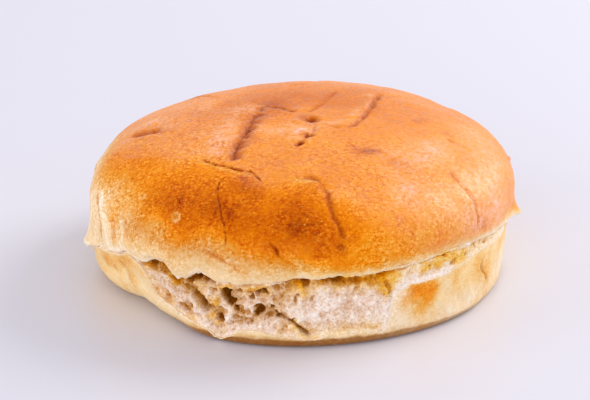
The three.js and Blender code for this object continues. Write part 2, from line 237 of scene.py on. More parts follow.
def lip_height(bearing):
    ragged = around(LIP_RAGGED_HEIGHT, bearing) * wander(bearing, LIP_WAVES, 1)
    notched = sum(rise * bell(bearing, middle, spread) for middle, spread, rise in LIP_NOTCHES)
    return around(LIP_HEIGHT, bearing) + ragged + notched + fine_waves(bearing, LIP_FINE, 3)


def lip_out(bearing):
    out = LIP_RAGGED_REACH * wander(bearing, LIP_WAVES, 2) + fine_waves(bearing, LIP_FINE, 4)
    return out + sum(reach * bell(bearing, middle, spread) for middle, spread, reach in LIP_FLAKES)


print("the lip's height in mm is", span(lip_height(np.arange(360))))

# %% [markdown]
# ## The crown's section
#
# Cut from top to lip, the crown is a flattened quarter circle with a short skirt that tucks in under
# it. A place on it is given by a bearing and by its way, the distance from the top measured along the
# crust as with a tape. That stays exact on the flat top and on the steep side alike.

# %% Places on the crown
PROFILE_STEPS = 48
SKIRT_STEPS = 6
NEAR_WAY = 0.4
NEAR_TURN = 0.8
FLAT_TOP = 0.3


def picked(line, index):
    return np.take_along_axis(line, index, -1)[..., 0]


def crown_at(bearing, way=None, share=None):
    """Points at a way from the top, or at a share of the way to the lip; their way; the lip's way."""
    bearing = np.asarray(bearing, float)
    reach, lip, widest, full_out, full_up = (
        table[..., None]
        for table in (
            around(CROWN_REACH, bearing), lip_height(bearing),
            around(LIP_HEIGHT, bearing) + around(SKIRT_DEPTH, bearing),
            around(SHOULDER_REACH, bearing), around(SHOULDER_RISE, bearing),
        )
    )
    rise = np.radians(np.linspace(90, 0, PROFILE_STEPS + 1))
    down = np.linspace(0, 1, SKIRT_STEPS + 1)[1:]
    tuck = LIP_TUCK - lip_out(bearing)[..., None]
    dome = widest + (HEIGHT - widest) * np.sin(rise) ** full_up
    radius = np.concatenate([reach * np.cos(rise) ** full_out, reach - tuck * down**2], axis=-1)
    height = np.concatenate([dome, widest + (lip - widest) * down], axis=-1)
    walked = np.cumsum(np.hypot(np.diff(radius), np.diff(height)), axis=-1)
    walked = np.concatenate([0 * reach, walked], axis=-1)
    goal = walked[..., -1] * share if way is None else way + 0 * bearing
    after = np.clip((walked < goal[..., None]).sum(-1), 1, walked.shape[-1] - 1)[..., None]
    start, end = picked(walked, after - 1), picked(walked, after)
    t = (goal - start) / (end - start)
    place = [picked(line, after - 1) * (1 - t) + picked(line, after) * t for line in (radius, height)]
    return on_circle(bearing, *place), goal, walked[..., -1]


def crown_place(bearing, way):
    return crown_at(bearing, way=way)[0]


def crown_facing(bearing, way):
    """Normals of the smooth crown, from the places next to each place."""
    along = crown_place(bearing, way + NEAR_WAY) - crown_place(bearing, np.maximum(way - NEAR_WAY, 0))
    across = crown_place(bearing + NEAR_TURN, way) - crown_place(bearing - NEAR_TURN, way)
    normals = np.cross(along, across)
    normals /= np.maximum(np.linalg.norm(normals, axis=-1, keepdims=True), 1e-9)
    return np.where((way < FLAT_TOP)[..., None], [0.0, 0.0, 1.0], normals)


print("way of the lip at the front:", crown_at(270.0, share=1.0)[1].round(1), "mm")

# %% [markdown]
# ## The grid of the crown
#
# A dome made like a globe crowds its triangles at the pole. A square grid wound into rings doesn't:
# ring k holds 8k points, so they stay about as far apart at the top as further out. The last ring then
# goes on as straight rows down to the lip. The columns crowd towards the torn side, where most of the
# detail is.

# %% Ring grid and rows
RINGS = 68
DISC_WAY = 22.0
ROWS = 144
FRONT = 258.0
FRONT_CROWDING = 38.0


def crowded(angle, crowding):
    """Even angles, moved towards the torn side."""
    return (angle - crowding * np.sin(np.radians(angle - FRONT))) % 360


def ring_angle(x, y):
    """Angle of each point of a square grid, once its squares are wound into rings."""
    ring = np.maximum(np.abs(x), np.abs(y))
    safe = np.maximum(ring, 1)
    sides = [45 * y / safe, 90 - 45 * x / safe, 180 - 45 * y / safe]
    return np.select([x == ring, y == ring, x == -ring], sides, 270 + 45 * x / safe)


line = np.arange(-RINGS, RINGS + 1)
grid_y, grid_x = np.meshgrid(line, line, indexing="ij")
disc_bearing = crowded(ring_angle(grid_x, grid_y), FRONT_CROWDING).ravel()
disc_way = (np.maximum(np.abs(grid_x), np.abs(grid_y)) * DISC_WAY / RINGS).ravel()
number = np.arange(disc_way.size).reshape(grid_x.shape)
rim = np.concatenate([
    number[RINGS:-1, -1], number[-1, :0:-1], number[:0:-1, 0], number[0, :-1], number[:RINGS, -1]
])
lip_way = crown_at(disc_bearing[rim], share=1.0)[1]
row_share = np.arange(1, ROWS + 1)[:, None] / ROWS
row_bearing = np.broadcast_to(disc_bearing[rim], (ROWS, len(rim)))
row_way = DISC_WAY + (lip_way - DISC_WAY) * row_share
crown_bearing = np.concatenate([disc_bearing, row_bearing.ravel()])
crown_way = np.concatenate([disc_way, row_way.ravel()])
crown_points, _, crown_length = crown_at(crown_bearing, way=crown_way)
crown_normals = crown_facing(crown_bearing, crown_way)
print("crown grid", crown_points.shape[0], "points")

# %% [markdown]
# ## Marks on the crust
#
# As the bun cooled, its crust wrinkled: the top folded into a raised plate with creases round it, and
# fine cracks run down the brown front. Each mark is a short line of places, with a width, a height
# (below zero for a crease), and a step, which lifts the side that lies to the right of the line. The
# distance from every point of the surface to that line gives the mark its shape. The points are shaken
# a little before they are measured, so that no line runs as smoothly as a drawn one.

# %% Distance to a curve
CURVE_SPACING = 0.4
CHUNK = 4000


def curve_through(stops):
    """Close points on a smooth curve through a few stops."""
    padded = np.concatenate([2 * stops[:1] - stops[1:2], stops, 2 * stops[-1:] - stops[-2:-1]])
    rows = []
    for before, start, end, after in zip(padded, padded[1:], padded[2:], padded[3:]):
        count = max(2, int(np.linalg.norm(end - start) / CURVE_SPACING))
        t = (np.arange(count) / count)[:, None]
        bend = (2 * before - 5 * start + 4 * end - after) * t**2
        bend += (3 * start - before - 3 * end + after) * t**3
        rows.append(start + 0.5 * ((end - before) * t + bend))
    return np.concatenate([*rows, stops[-1:]])


def curve_on(path, place):
    """A curve on a surface, through stops of a bearing and a way or a height."""
    return curve_through(np.array([place(*stop) for stop in path]))


def near_curve(points, normals, curve, reach):
    """Distance to a curve, way to its nearer end, and 1 to its right or -1 to its left."""
    away, to_end, side = (np.full(len(points), value) for value in (np.inf, 0.0, 0.0))
    start, step = curve[:-1], np.diff(curve, axis=0)
    long = np.linalg.norm(step, axis=-1)
    walked = np.concatenate([[0], np.cumsum(long)])
    close = np.flatnonzero(((points > curve.min(0) - reach) & (points < curve.max(0) + reach)).all(-1))
    for some in np.array_split(close, len(close) // CHUNK + 1):
        offset = points[some][:, None] - start
        t = np.clip((offset * step).sum(-1) / long**2, 0, 1)
        offset -= t[..., None] * step
        distance = np.linalg.norm(offset, axis=-1)
        pick = np.arange(len(some)), distance.argmin(1)
        along = walked[pick[1]] + t[pick] * long[pick[1]]
        away[some] = distance[pick]
        to_end[some] = np.minimum(along, walked[-1] - along)
        beside = np.cross(step[pick[1]], normals[some])
        side[some] = np.sign((offset[pick] * beside).sum(-1))
    return away, to_end, side


quarter = curve_on([(0, 20), (45, 20), (90, 20)], crown_place)
print("a curve of", len(quarter), "points on the crown")

# %% Shape of a mark
MARK_SHAKE = (0.35, 1.6, 31)
# how soon a mark, and a step, reach their full height: in mm, and as a share of the curve
TAPER = (2.5, 0.3)
STEP_TAPER = (6, 0.35)
BANK = 0.15
BANK_AWAY = 1.9


def shaken(points, size, pitch, layer):
    return points + size * np.stack([lumps(points, pitch, layer + axis) for axis in range(3)], axis=-1)


def tapered(to_end, whole, taper):
    return smooth(0, min(taper[0], taper[1] * whole), to_end)


def mark_layers(points, normals, marks, place, step_reach):
    """Height and darkness that the marks give to each point."""
    points, normals = points.reshape(-1, 3), normals.reshape(-1, 3)
    loose = shaken(points, *MARK_SHAKE)
    uneven = np.clip(1 + 0.7 * lumps(points, 1.8, 35), 0.5, 1.5)
    height = np.zeros(len(points))
    dark = np.zeros(len(points))
    for width, rise, step, shade, path in marks.values():
        curve = curve_on(path, place)
        reach = 3 * max(width, step_reach if step else 0)
        away, to_end, side = near_curve(loose, normals, curve, reach)
        whole = np.linalg.norm(np.diff(curve, axis=0), axis=-1).sum()
        strength = tapered(to_end, whole, TAPER) if whole > 2 * width else 1.0
        profile = strength * uneven * np.exp(-((away / width) ** 2))
        height += rise * profile
        if rise < 0:
            height += BANK * abs(rise) * strength * np.exp(-((away / width - BANK_AWAY) ** 2))
        height += step * side * tapered(to_end, whole, STEP_TAPER) * np.exp(-away / step_reach)
        dark = np.maximum(dark, shade * profile)
    return height, dark


print("the banks beside a crease rise", BANK, "of its depth")

# %% Marks of the crown
CROWN_MARKS = {
    # width, height, step, dark, path of (bearing, way)
    "plate_left": (1.5, -0.5, 0.42, 0.55, [
        (240.5, 32.5), (239.5, 31), (234, 24.5), (224, 17.5), (203, 12), (179, 9.8),
    ]),
    "plate_slope": (3.4, 0.45, 0, 0, [(227, 28.5), (213, 20.5), (186, 15), (160, 13.5)]),
    "plate_back": (0.9, -0.4, 0.3, 0.5, [(179, 9.8), (153, 10.3), (146, 7.3), (150, 3.9), (105, 1)]),
    "plate_pit": (1.3, -1.25, 0, 1, [(283, 3.8), (290, 4.9), (301, 5.8), (303, 8.3)]),
    "plate_pit_bank": (0.9, 0.35, 0, 0, [(250, 4.4), (264, 6.4), (281, 8.2)]),
    "plate_right": (0.7, -0.3, -0.2, 0.2, [
        (301, 7.6), (288, 12), (279.5, 15.4), (275, 17.2), (270, 20.2),
    ]),
    "pit_a": (1.1, -1.1, 0, 1, [(281.5, 14.6), (277.5, 16), (276, 16.6)]),
    "pit_b": (0.7, -0.8, 0, 0.9, [(270.5, 20.2), (268, 21.2)]),
    "bulge_a": (1.25, 0.55, 0, 0, [(272, 12.4), (274, 13.8)]),
    "bulge_b": (1.15, 0.5, 0, 0, [(264.5, 18.4), (267, 17.8)]),
    "bulge_c": (1, 0.35, 0, 0, [(272, 19.4), (274.5, 19.4)]),
    "back_crease": (0.7, -0.25, -0.1, 0.22, [(344.5, 1.8), (46.5, 6.5), (55, 11.8), (62, 20.5)]),
    "lobe_start": (0.8, -0.25, -0.1, 0.15, [(299, 9.5), (310.5, 12.8), (318, 14.6)]),
    "lobe_crease": (0.8, -0.45, -0.25, 0.45, [
        (316, 14.2), (326, 15.2), (342.5, 15.2), (19.5, 19), (40.5, 27),
    ]),
    "lobe_ridge": (1.5, 0.5, 0, 0, [(313, 11.2), (328, 12.6), (347, 13), (15, 16.4), (38, 23)]),
    "front_crack": (0.24, -0.4, -0.14, 1, [
        (225.5, 34), (234.5, 34.8), (242.5, 34.9), (250.5, 34.8), (253.5, 36.2), (256.5, 38.5),
    ]),
    "front_crack_start": (0.6, -0.35, 0, 0.8, [(228.5, 34.3), (230.5, 34.6)]),
    "shoulder_line": (1.6, 0.18, 0, 0, [(199.5, 46), (210.5, 39.5), (225.5, 35.5)]),
    "down_crack": (0.24, -0.3, 0.1, 0.8, [
        (242.5, 37.2), (242.2, 42.5), (245.5, 46.8), (248.5, 51), (250.5, 55), (250, 57.8),
    ]),
    "middle_crease": (0.75, -0.45, 0.12, 0.4, [
        (269, 35.8), (276, 37.2), (278.5, 43.5), (279, 49), (280.5, 53.5), (281, 57.2),
    ]),
    "middle_ridge": (0.6, 0.3, 0, 0, [(270, 37.8), (274, 39.4), (276.3, 44)]),
    "knob": (0.85, 0.5, 0, 0.75, [(279.6, 56.7), (280.6, 57.3)]),
    "small_crack": (0.4, -0.3, 0, 0.8, [(261.5, 54.8), (264, 57.5), (265, 60)]),
    "right_fold": (0.4, -0.35, 0.28, 0.4, [
        (323, 43.5), (323, 45), (321.5, 49), (322, 53), (321.5, 55.8), (322, 58.8), (322.5, 63),
    ]),
    "right_swell": (2.4, 0.25, 0, 0, [(319, 47), (318.6, 55)]),
    "left_dent": (1.5, -0.8, 0, 0.5, [(180.5, 42.8), (186, 38), (188.5, 34)]),
    "left_swell": (2, 0.4, 0, 0, [(176.5, 39.5), (176.5, 35.2)]),
    "blister": (1.2, 0.5, 0, 0, [(234.8, 52.6), (235.3, 53)]),
    "blister_dip": (0.6, -0.3, 0, 0, [(235.2, 52.5), (235.8, 53)]),
    "tip": (0.7, 0.9, 0, 0, [(1, 54.8), (2, 56.2)]),
    "pleat_a": (0.8, 0.5, 0, 0, [(198, 60), (201.5, 63), (202, 67)]),
    "pleat_groove": (0.5, -0.7, 0, 0.5, [(200, 56), (204.5, 59.5), (207, 63), (206.5, 67.2)]),
    "pleat_b": (0.9, 0.5, 0, 0, [(205, 56.5), (210, 60), (211.5, 63.5), (211, 66.5)]),
    "pleat_hollow": (1.1, -0.7, 0, 0.2, [(213.2, 58.6), (214.2, 61.5), (215, 65)]),
    "pleat_c": (0.55, 0.55, 0, 0, [(216.5, 56.5), (219, 60), (220, 64.5)]),
    "pleat_fine": (0.35, -0.4, 0, 0.4, [(218.2, 56.5), (220.4, 60), (221.4, 63)]),
    "skirt_crease": (0.6, -0.22, 0, 0.35, [(243.5, 58.2), (248.5, 59.8), (253, 61.5), (256.5, 63.2)]),
    "short_crease": (0.45, -0.35, 0, 0.4, [(344.5, 37.2), (342.5, 39.5)]),
    "back_fold": (0.6, -0.3, 0.2, 0.1, [(98, 24), (84, 32), (78, 42), (84, 52)]),
    "left_back_fold": (0.5, -0.3, 0.16, 0.1, [(140, 28), (134, 38), (137, 47), (132, 58)]),
    "right_back_fold": (0.5, -0.3, 0.16, 0.1, [(27, 41), (32, 50), (30, 58)]),
    "back_pleat_a": (0.7, -0.6, 0, 0.4, [(166, 52), (168, 58), (167, 64)]),
    "back_pleat_b": (0.9, 0.5, 0, 0, [(172, 53), (174, 60), (173, 66)]),
    "back_pleat_c": (0.6, -0.5, 0, 0.4, [(112, 55), (110, 60), (111, 65)]),
}
CROWN_STEP_REACH = 3.5

mark_height, mark_dark = mark_layers(
    crown_points, crown_normals, CROWN_MARKS, crown_place, CROWN_STEP_REACH
)
print(len(CROWN_MARKS), "marks,", span(mark_height), "mm high")

# %% [markdown]
# ## Relief of the crown
#
# The relief is the sum of lumps as wide as a thumb, smaller lumps, the marks, and the fine wrinkles
# that a glazed crust gets as it shrinks. A wrinkle is a lump folded over: taking the size of a number
# that runs from -1 to 1 turns its zero line into a sharp valley. Each point moves along its own normal.
# It all fades out at the lip, so that the lip's line stays the one worked out above.

# %% Move the crown's points
# pitch, height, layer
CRUST_LUMPS = [(17, 0.45, 0), (6, 0.14, 1), (2.4, 0.05, 2)]
WRINKLES = [(1.5, 0.07, 3), (0.9, 0.05, 4)]
WRINKLE_STRETCH = [1, 0.8, 1]
LIP_FADE = 2.2


def crust_lumps(points):
    return sum(size * lumps(points, pitch, layer) for pitch, size, layer in CRUST_LUMPS)


relief = crust_lumps(crown_points)
valleys = sum(
    size * (1 - np.abs(lumps(crown_points * WRINKLE_STRETCH, pitch, layer))) ** 3
    for pitch, size, layer in WRINKLES
)
relief -= valleys * (0.45 + 0.55 * smooth(-0.3, 0.5, lumps(crown_points, 9, 5)))
relief += mark_height
fade = 1 - smooth(crown_length - LIP_FADE, crown_length, crown_way)
crown_surface = crown_points + crown_normals * (relief * fade)[:, None]
print("relief", span(relief), "mm")

# %% [markdown]
# ## How far each part is baked
#
# Colour on bread is mostly a map of heat. The skirt hardly browned because it touched its neighbours,
# the top is an even gold, and one broad patch on the front caught the most heat. That map is worked out
# here, one number a point, and the material turns it into colour. A second map says where the glaze
# still shines: on the top and the right, and hardly on the dark front.

# %% Tables of the crown's colours
# Each table holds (bearing, value), and the skirt and the glaze's edge are in mm along the crust.
PALE_SKIRT = [
    (0, 3.5), (60, 6), (120, 9), (160, 20), (180, 25), (196, 21), (207, 15.5), (218, 11.6), (230, 11.6),
    (240, 11.3), (252, 12), (262, 8.5), (275, 4.5), (290, 3.4), (307, 4), (325, 2.6), (345, 3),
]
PALE_VEIL = [
    (0, 0.1), (60, 0.25), (120, 0.4), (180, 0.55), (215, 0.52), (240, 0.48), (256, 0.48), (266, 0.2),
    (275, 0.05), (290, 0), (330, 0),
]
GLAZE_EDGE = [
    (0, 68), (60, 56), (120, 50), (180, 46), (199, 45), (210, 39.5), (225, 35.2), (242, 34),
    (256, 37.5), (270, 36.5), (281, 42), (292, 52), (303, 62), (330, 70),
]
GRAIN = [
    (0, 0.35), (60, 0.6), (150, 0.8), (200, 1), (230, 1), (260, 0.8), (290, 0.85), (315, 0.7),
    (338, 0.35),
]
LIP_PALENESS = [
    (0, 0.9), (120, 0.8), (180, 1), (250, 1), (264, 0.55), (300, 0.5), (325, 0.7), (345, 0.9),
]
print("the pale skirt is", around(PALE_SKIRT, 200).round(1), "mm deep on the left")

# %% Stains and painted shade on the crown
def path_of(mark):
    """The path of one of the crown's marks, for a stain that lies along it."""
    return CROWN_MARKS[mark][-1]


# A stain is a soft line: its width, its strength, and its path of (bearing, way). In STAINS and
# SKIRT_STAINS the strength adds to the baking, and the last list darkens the colour: painted shade on
# the low front of the skirt, where it turns under.
STAINS = [
    (8.5, 0.24, [(236, 46), (248, 48), (260, 50), (272, 49.5)]),
    (7, -0.07, [(228, 36), (236, 39)]),
    (6, -0.06, [(305, 54), (314, 56)]),
    (4.5, 0.13, [(228, 49), (237, 53), (243, 52)]),
    (3, 0.1, [(248.5, 47), (251.5, 51), (252.5, 54)]),
    (1.7, 0.25, [(285, 4.2), (299, 6.5)]),
    (1.2, 0.25, [(277.5, 16), (275.5, 17.4)]),
    (2.3, 0.24, [(236, 28), (228, 19), (208, 12.6), (190, 10.4)]),
    (1.8, 0.12, [(175, 10.2), (152, 10.4), (145, 8)]),
    (3, 0.22, [(249, 38.5), (256, 41.5)]),
    (4.5, 0.06, [(268, 46), (274, 51), (278, 55)]),
    (3.5, 0.1, [(270, 53), (274, 57)]),
    (4, -0.03, [(252, 58), (262, 58)]),
    (5.5, 0.02, [(203, 47), (214, 46), (226, 44)]),
    (6, -0.05, [(286, 57), (300, 57), (314, 56)]),
    (1.7, 0.42, [(305, 27.4), (309, 28.8)]),
    (1.3, 0.26, [(355.5, 29.2), (359.5, 30.8)]),
    (1.2, 0.26, [(348.5, 37), (344, 39.4)]),
    (1.5, 0.22, [(309.5, 34.6), (312, 36)]),
    (1.2, 0.2, [(298, 24), (300, 26.5)]),
    (11, 0.2, [(60, 14), (110, 16), (150, 12)]),
    (9, 0.07, [(20, 22), (356, 26)]),
    (2.6, 0.14, [(112, 6.2), (128, 9.5), (142, 11.5)]),
    (1.5, 0.14, [(296, 6.5), (285, 8.5)]),
    (10, 0.08, [(180, 20), (200, 30)]),
    (12, -0.06, [(330, 40), (350, 46)]),
    (7, 0.16, [(100, 40), (130, 46)]),
    (1.6, 0.12, [(308, 58.5), (309, 61)]),
    (1.4, 0.22, [(325, 60), (325, 65)]),
    (1.5, 0.2, [(181, 42.5), (186, 38), (188.5, 34.5)]),
]
SKIRT_STAINS = [
    (1.1, 0.26, path_of("pleat_hollow")),
    (0.5, 0.3, [(201.5, 57.2), (205.5, 60), (207.5, 63.2), (206.5, 67.2)]),
    (0.5, 0.25, [(197.6, 56.8), (199, 60.2), (198.5, 64.2)]),
    (0.9, 0.12, [(243.5, 58.4), (249, 60), (256, 62.8)]),
]
# Painted shade on the low front of the skirt, where it turns under.
PAINTED_SHADE = [
    (5, 0.21, [(224, 58.5), (232, 59), (240, 60)]),
    (5, 0.2, [(246, 60), (258, 60), (266, 60)]),
]


def stained(points, normals, stains, place):
    """Sum of soft stains at each point."""
    total = np.zeros(len(points))
    for width, strength, path in stains:
        away = near_curve(points, normals, curve_on(path, place), 3 * width)[0]
        total += strength * np.exp(-((away / width) ** 2))
    return total


print(len(STAINS + SKIRT_STAINS + PAINTED_SHADE), "stains on the crown")

# %% Cream and painted sheen
# CREAM lays pale, floury crust over the baked colour, and two of its lines are a painted highlight.
# The second list paints a rosy sheen into the colour, a painted highlight. Both are lists of soft lines,
# with a width, a strength and a path of (bearing, way).
RING_SQUEEZE = 0.9


def ring(bearing, way, size):
    """Places on a small circle round one place."""
    turn = np.radians(np.arange(0, 361, 45))
    return [(bearing + size * np.cos(t), way + RING_SQUEEZE * size * np.sin(t)) for t in turn]


CREAM = [
    (0.32, 0.6, ring(235, 52.8, 1.3)),
    (0.8, 0.3, [(235, 52.8), (235.3, 53)]),
    (0.3, 0.5, ring(220.5, 50.8, 0.8)),
    (1.1, 0.55, [(204, 56.5), (209, 60), (211, 63.5), (210.5, 67)]),
    (0.45, 0.6, path_of("pleat_c")),
    (1.6, 0.5, [(197, 60), (193, 65), (188, 70)]),
    (5, 0.58, [(176, 55), (190, 56), (206, 58)]),
    (5, 0.4, [(210, 53), (219, 55.5)]),
    (3, 0.35, [(170, 50), (178, 50.5)]),
    (2.5, 0.12, [(220, 58.5), (226, 58.5)]),
    # Painted highlight: this line and the next light the start of the middle crease and the lower edge of
    # the front crack.
    (1.3, 0.3, [(268.5, 37.2), (274, 37.6)]),
    (0.4, 0.3, [(225.5, 35.2), (242.5, 36), (250.5, 35.9)]),
    (0.9, 0.2, [(318.8, 46), (319, 56)]),
]
PAINTED_SHEEN = [
    (4.2, 0.4, path_of("plate_slope")),
    (8, 0.14, [(196, 33), (212, 30), (228, 31)]),
    (2.4, 0.45, [(170, 37.5), (176.5, 35.5)]),
    (3, 0.3, [(150, 27), (163, 24.5)]),
    (4, 0.4, [(240, 13), (262, 10), (290, 10)]),
    (1.4, 0.35, path_of("lobe_ridge")),
    (1.3, 0.55, path_of("bulge_a")),
    (1.3, 0.55, path_of("bulge_b")),
    (2.2, 0.3, [(279, 12), (272, 17.5)]),
    (5.5, 0.22, [(303, 43.5), (311, 36.5), (322, 38)]),
    (4, 0.28, [(319, 58), (328, 60), (336, 59)]),
    (3, 0.28, [(281, 43), (285, 45)]),
    (3.2, 0.28, [(301.5, 47), (305, 45)]),
    (4.5, 0.26, [(313, 30), (322, 38), (332, 35)]),
    (5, 0.26, [(308, 52), (315, 55), (320, 58)]),
    (4, 0.2, [(312, 44), (316, 48)]),
    (6.5, 0.34, [(331, 56), (337, 52), (346, 49), (0, 45)]),
    (3.2, 0.22, [(332, 37), (344, 37.5)]),
]


print(len(CREAM), "cream stains and", len(PAINTED_SHEEN), "rosy ones")

# %% Colour layers of the crown
TOP_BAKE = 0.53
GLAZE_LEAST = 0.06
PAINTED_SHEEN_LEAST = 0.06
BACK_DULLNESS = 0.32

blotchy = shaken(crown_points, 1.6, 5.0, 41)
skirt = around(PALE_SKIRT, crown_bearing)
above_lip = crown_length - crown_way + 0.16 * skirt * lumps(crown_points, 7, 45)
above_lip += 0.5 * lumps(crown_points, 1.6, 46)
bake = TOP_BAKE + stained(blotchy, crown_normals, STAINS, crown_place)
bake *= smooth(-0.35 * skirt, 1.35 * skirt, above_lip)
bake += stained(shaken(crown_points, 0.4, 1.5, 42), crown_normals, SKIRT_STAINS, crown_place)
# Painted shade: darkens the low front of the skirt.
painted_shade = stained(blotchy, crown_normals, PAINTED_SHADE, crown_place)
cream = stained(shaken(crown_points, 0.3, 1.2, 43), crown_normals, CREAM, crown_place)
cream += around(PALE_VEIL, crown_bearing) * smooth(1.0, 0.15, above_lip / skirt)
lip_cream = around(LIP_PALENESS, crown_bearing) * smooth(0.8, 0.15, above_lip)

from_glaze = around(GLAZE_EDGE, crown_bearing) + 3.0 * lumps(crown_points, 6, 48) - crown_way
glaze = (0.62 + 0.24 * smooth(14, 34, crown_way)) * smooth(-5.5, 5.0, from_glaze)
glaze *= 1 - BACK_DULLNESS * bell(crown_bearing, 118, 75) * smooth(4, 10, crown_way)
# Painted sheen: a rosy highlight painted into the colour over the glazed top and right.
bloom = PAINTED_SHEEN_LEAST + stained(blotchy, crown_normals, PAINTED_SHEEN, crown_place)
painted_sheen_reach = smooth(-9, 3.0, from_glaze + 12 * smooth(284, 292, crown_bearing))
crown_layers = {
    "bake": np.clip(bake, 0, 1),
    "dark": np.clip(np.maximum(mark_dark * (0.3 + 0.7 * fade), painted_shade), 0, 1),
    "pale": np.clip(np.maximum(lip_cream, cream), 0, 1),
    "glaze": GLAZE_LEAST + glaze,
    "bloom": np.clip(bloom, 0, 1) * painted_sheen_reach,
    "grain": around(GRAIN, crown_bearing) * (1 - 0.35 * smooth(30, 10, crown_way)),
}
print("baked", span(bake))

# %% [markdown]
# ## Turning points into a mesh
#
# Each part is a sheet of points that is closed at its ends, so that it is a solid body and not a skin.
# One helper writes the points, the triangles and the named numbers of each point, which Blender keeps
# as attributes that a material can read.

# %% Mesh helpers
bun_pieces = {}


def make_piece(name, points, triangles, layers):
    """A Blender object from points in mm, with the layers as its attributes."""
    mesh = bpy.data.meshes.new(name)
    mesh.vertices.add(len(points))
    mesh.vertices.foreach_set("co", (points * MM).astype(np.float32).ravel())
    mesh.loops.add(triangles.size)
    mesh.loops.foreach_set("vertex_index", triangles.astype(np.int32).ravel())
    mesh.polygons.add(len(triangles))
    mesh.polygons.foreach_set("loop_start", np.arange(0, triangles.size, 3, dtype=np.int32))
    mesh.update()
    mesh.validate()
    mesh.shade_smooth()
    for layer, values in layers.items():
        attribute = mesh.attributes.new(layer, "FLOAT", "POINT")
        attribute.data.foreach_set("value", values.astype(np.float32).ravel())
    piece = bpy.data.objects.new(name, mesh)
    bpy.context.collection.objects.link(piece)
    bun_pieces[name] = piece
    print(name, len(points), "points,", len(triangles), "triangles")
    return piece


def squares(a, b, c, d):
    """Two triangles for each square with corners a, b, c and d."""
    corners = [np.ravel(v) for v in (a, b, c, d)]
    return np.concatenate([np.stack(corners[:3], 1), np.stack([corners[0], corners[2], corners[3]], 1)])


def tube_triangles(rows, columns, first=0):
    """Triangles between rows of points that each close on themselves, with row 0 on top."""
    number = first + np.arange(rows * columns).reshape(rows, columns)
    beside = np.roll(number, -1, axis=1)
    return squares(number[:-1], number[1:], beside[1:], beside[:-1])


def cap_triangles(ring, centre, turn_over):
    """A fan from a ring of points to one centre point."""
    beside = np.roll(ring, -1)
    order = (beside, ring) if turn_over else (ring, beside)
    return np.stack([*order, np.full(len(ring), centre)], axis=1)


print("a tube of 2 rows and 6 columns has", len(tube_triangles(2, 6)), "triangles")

# %% Crown mesh
LIP_THICKNESS = 0.55
# mm inward, and the share of the lip's thickness below its edge
LIP_ROWS = [(0.12, 0.3), (0.4, 0.75), (0.85, 1), (2, 0.5)]
LIP_SHELF = (5.0, 0.6)
INNER_HEIGHT = 17.0
UNDER_LIP = {"bake": 0.15, "dark": 0.0, "pale": 1.0, "glaze": 0.0, "bloom": 0.0, "grain": 1.0}

corners = np.stack([number[:-1, :-1], number[:-1, 1:], number[1:, 1:], number[1:, :-1]], axis=-1)
crosswise = (grid_x[:-1, :-1] < 0) != (grid_y[:-1, :-1] < 0)
corners = np.where(crosswise[..., None], np.roll(corners, -1, axis=-1), corners)
disc_triangles = squares(*np.moveaxis(corners, -1, 0))
columns = len(rim)
first_row = disc_way.size + np.arange(columns)
lip_bearing = disc_bearing[rim]
lip_ring = crown_surface[-columns:]
lip_radius, lip_up = np.linalg.norm(lip_ring[:, :2], axis=-1), lip_ring[:, 2]
thickness = LIP_THICKNESS * (1 + 0.5 * wander(lip_bearing, 90, 7) + 0.3 * wander(lip_bearing, 400, 8))
lip_rows = [
    on_circle(lip_bearing, lip_radius - inward, lip_up - down * thickness)
    for inward, down in LIP_ROWS
]
lip_rows.append(on_circle(lip_bearing, lip_radius - LIP_SHELF[0], lip_up + LIP_SHELF[1]))
points = np.concatenate([crown_surface, *lip_rows, [[0, 0, INNER_HEIGHT]]])
triangles = np.concatenate([
    disc_triangles,
    squares(rim, first_row, np.roll(first_row, -1), np.roll(rim, -1)),
    tube_triangles(ROWS + len(lip_rows), columns, disc_way.size),
    cap_triangles(len(points) - 1 - columns + np.arange(columns), len(points) - 1, True),
])
extra = len(points) - len(crown_surface)
layers = {
    name: np.concatenate([layer, np.full(extra, UNDER_LIP[name])]) for name, layer in crown_layers.items()
}
layers["pale"][-extra:-1] = np.tile(around(LIP_PALENESS, lip_bearing), len(lip_rows))
crown = make_piece("crown", points, triangles, layers)

# %% [markdown]
# ## The heel
#
# The heel is a shallow cup of thin crust. Its side leans in slightly to a flat base, with a round foot
# on the left where the bun lifts off the surface. On the torn side its upper edge drops almost to the
# base and shows the thickness of the crust, which thins out to nothing where the tear ends.

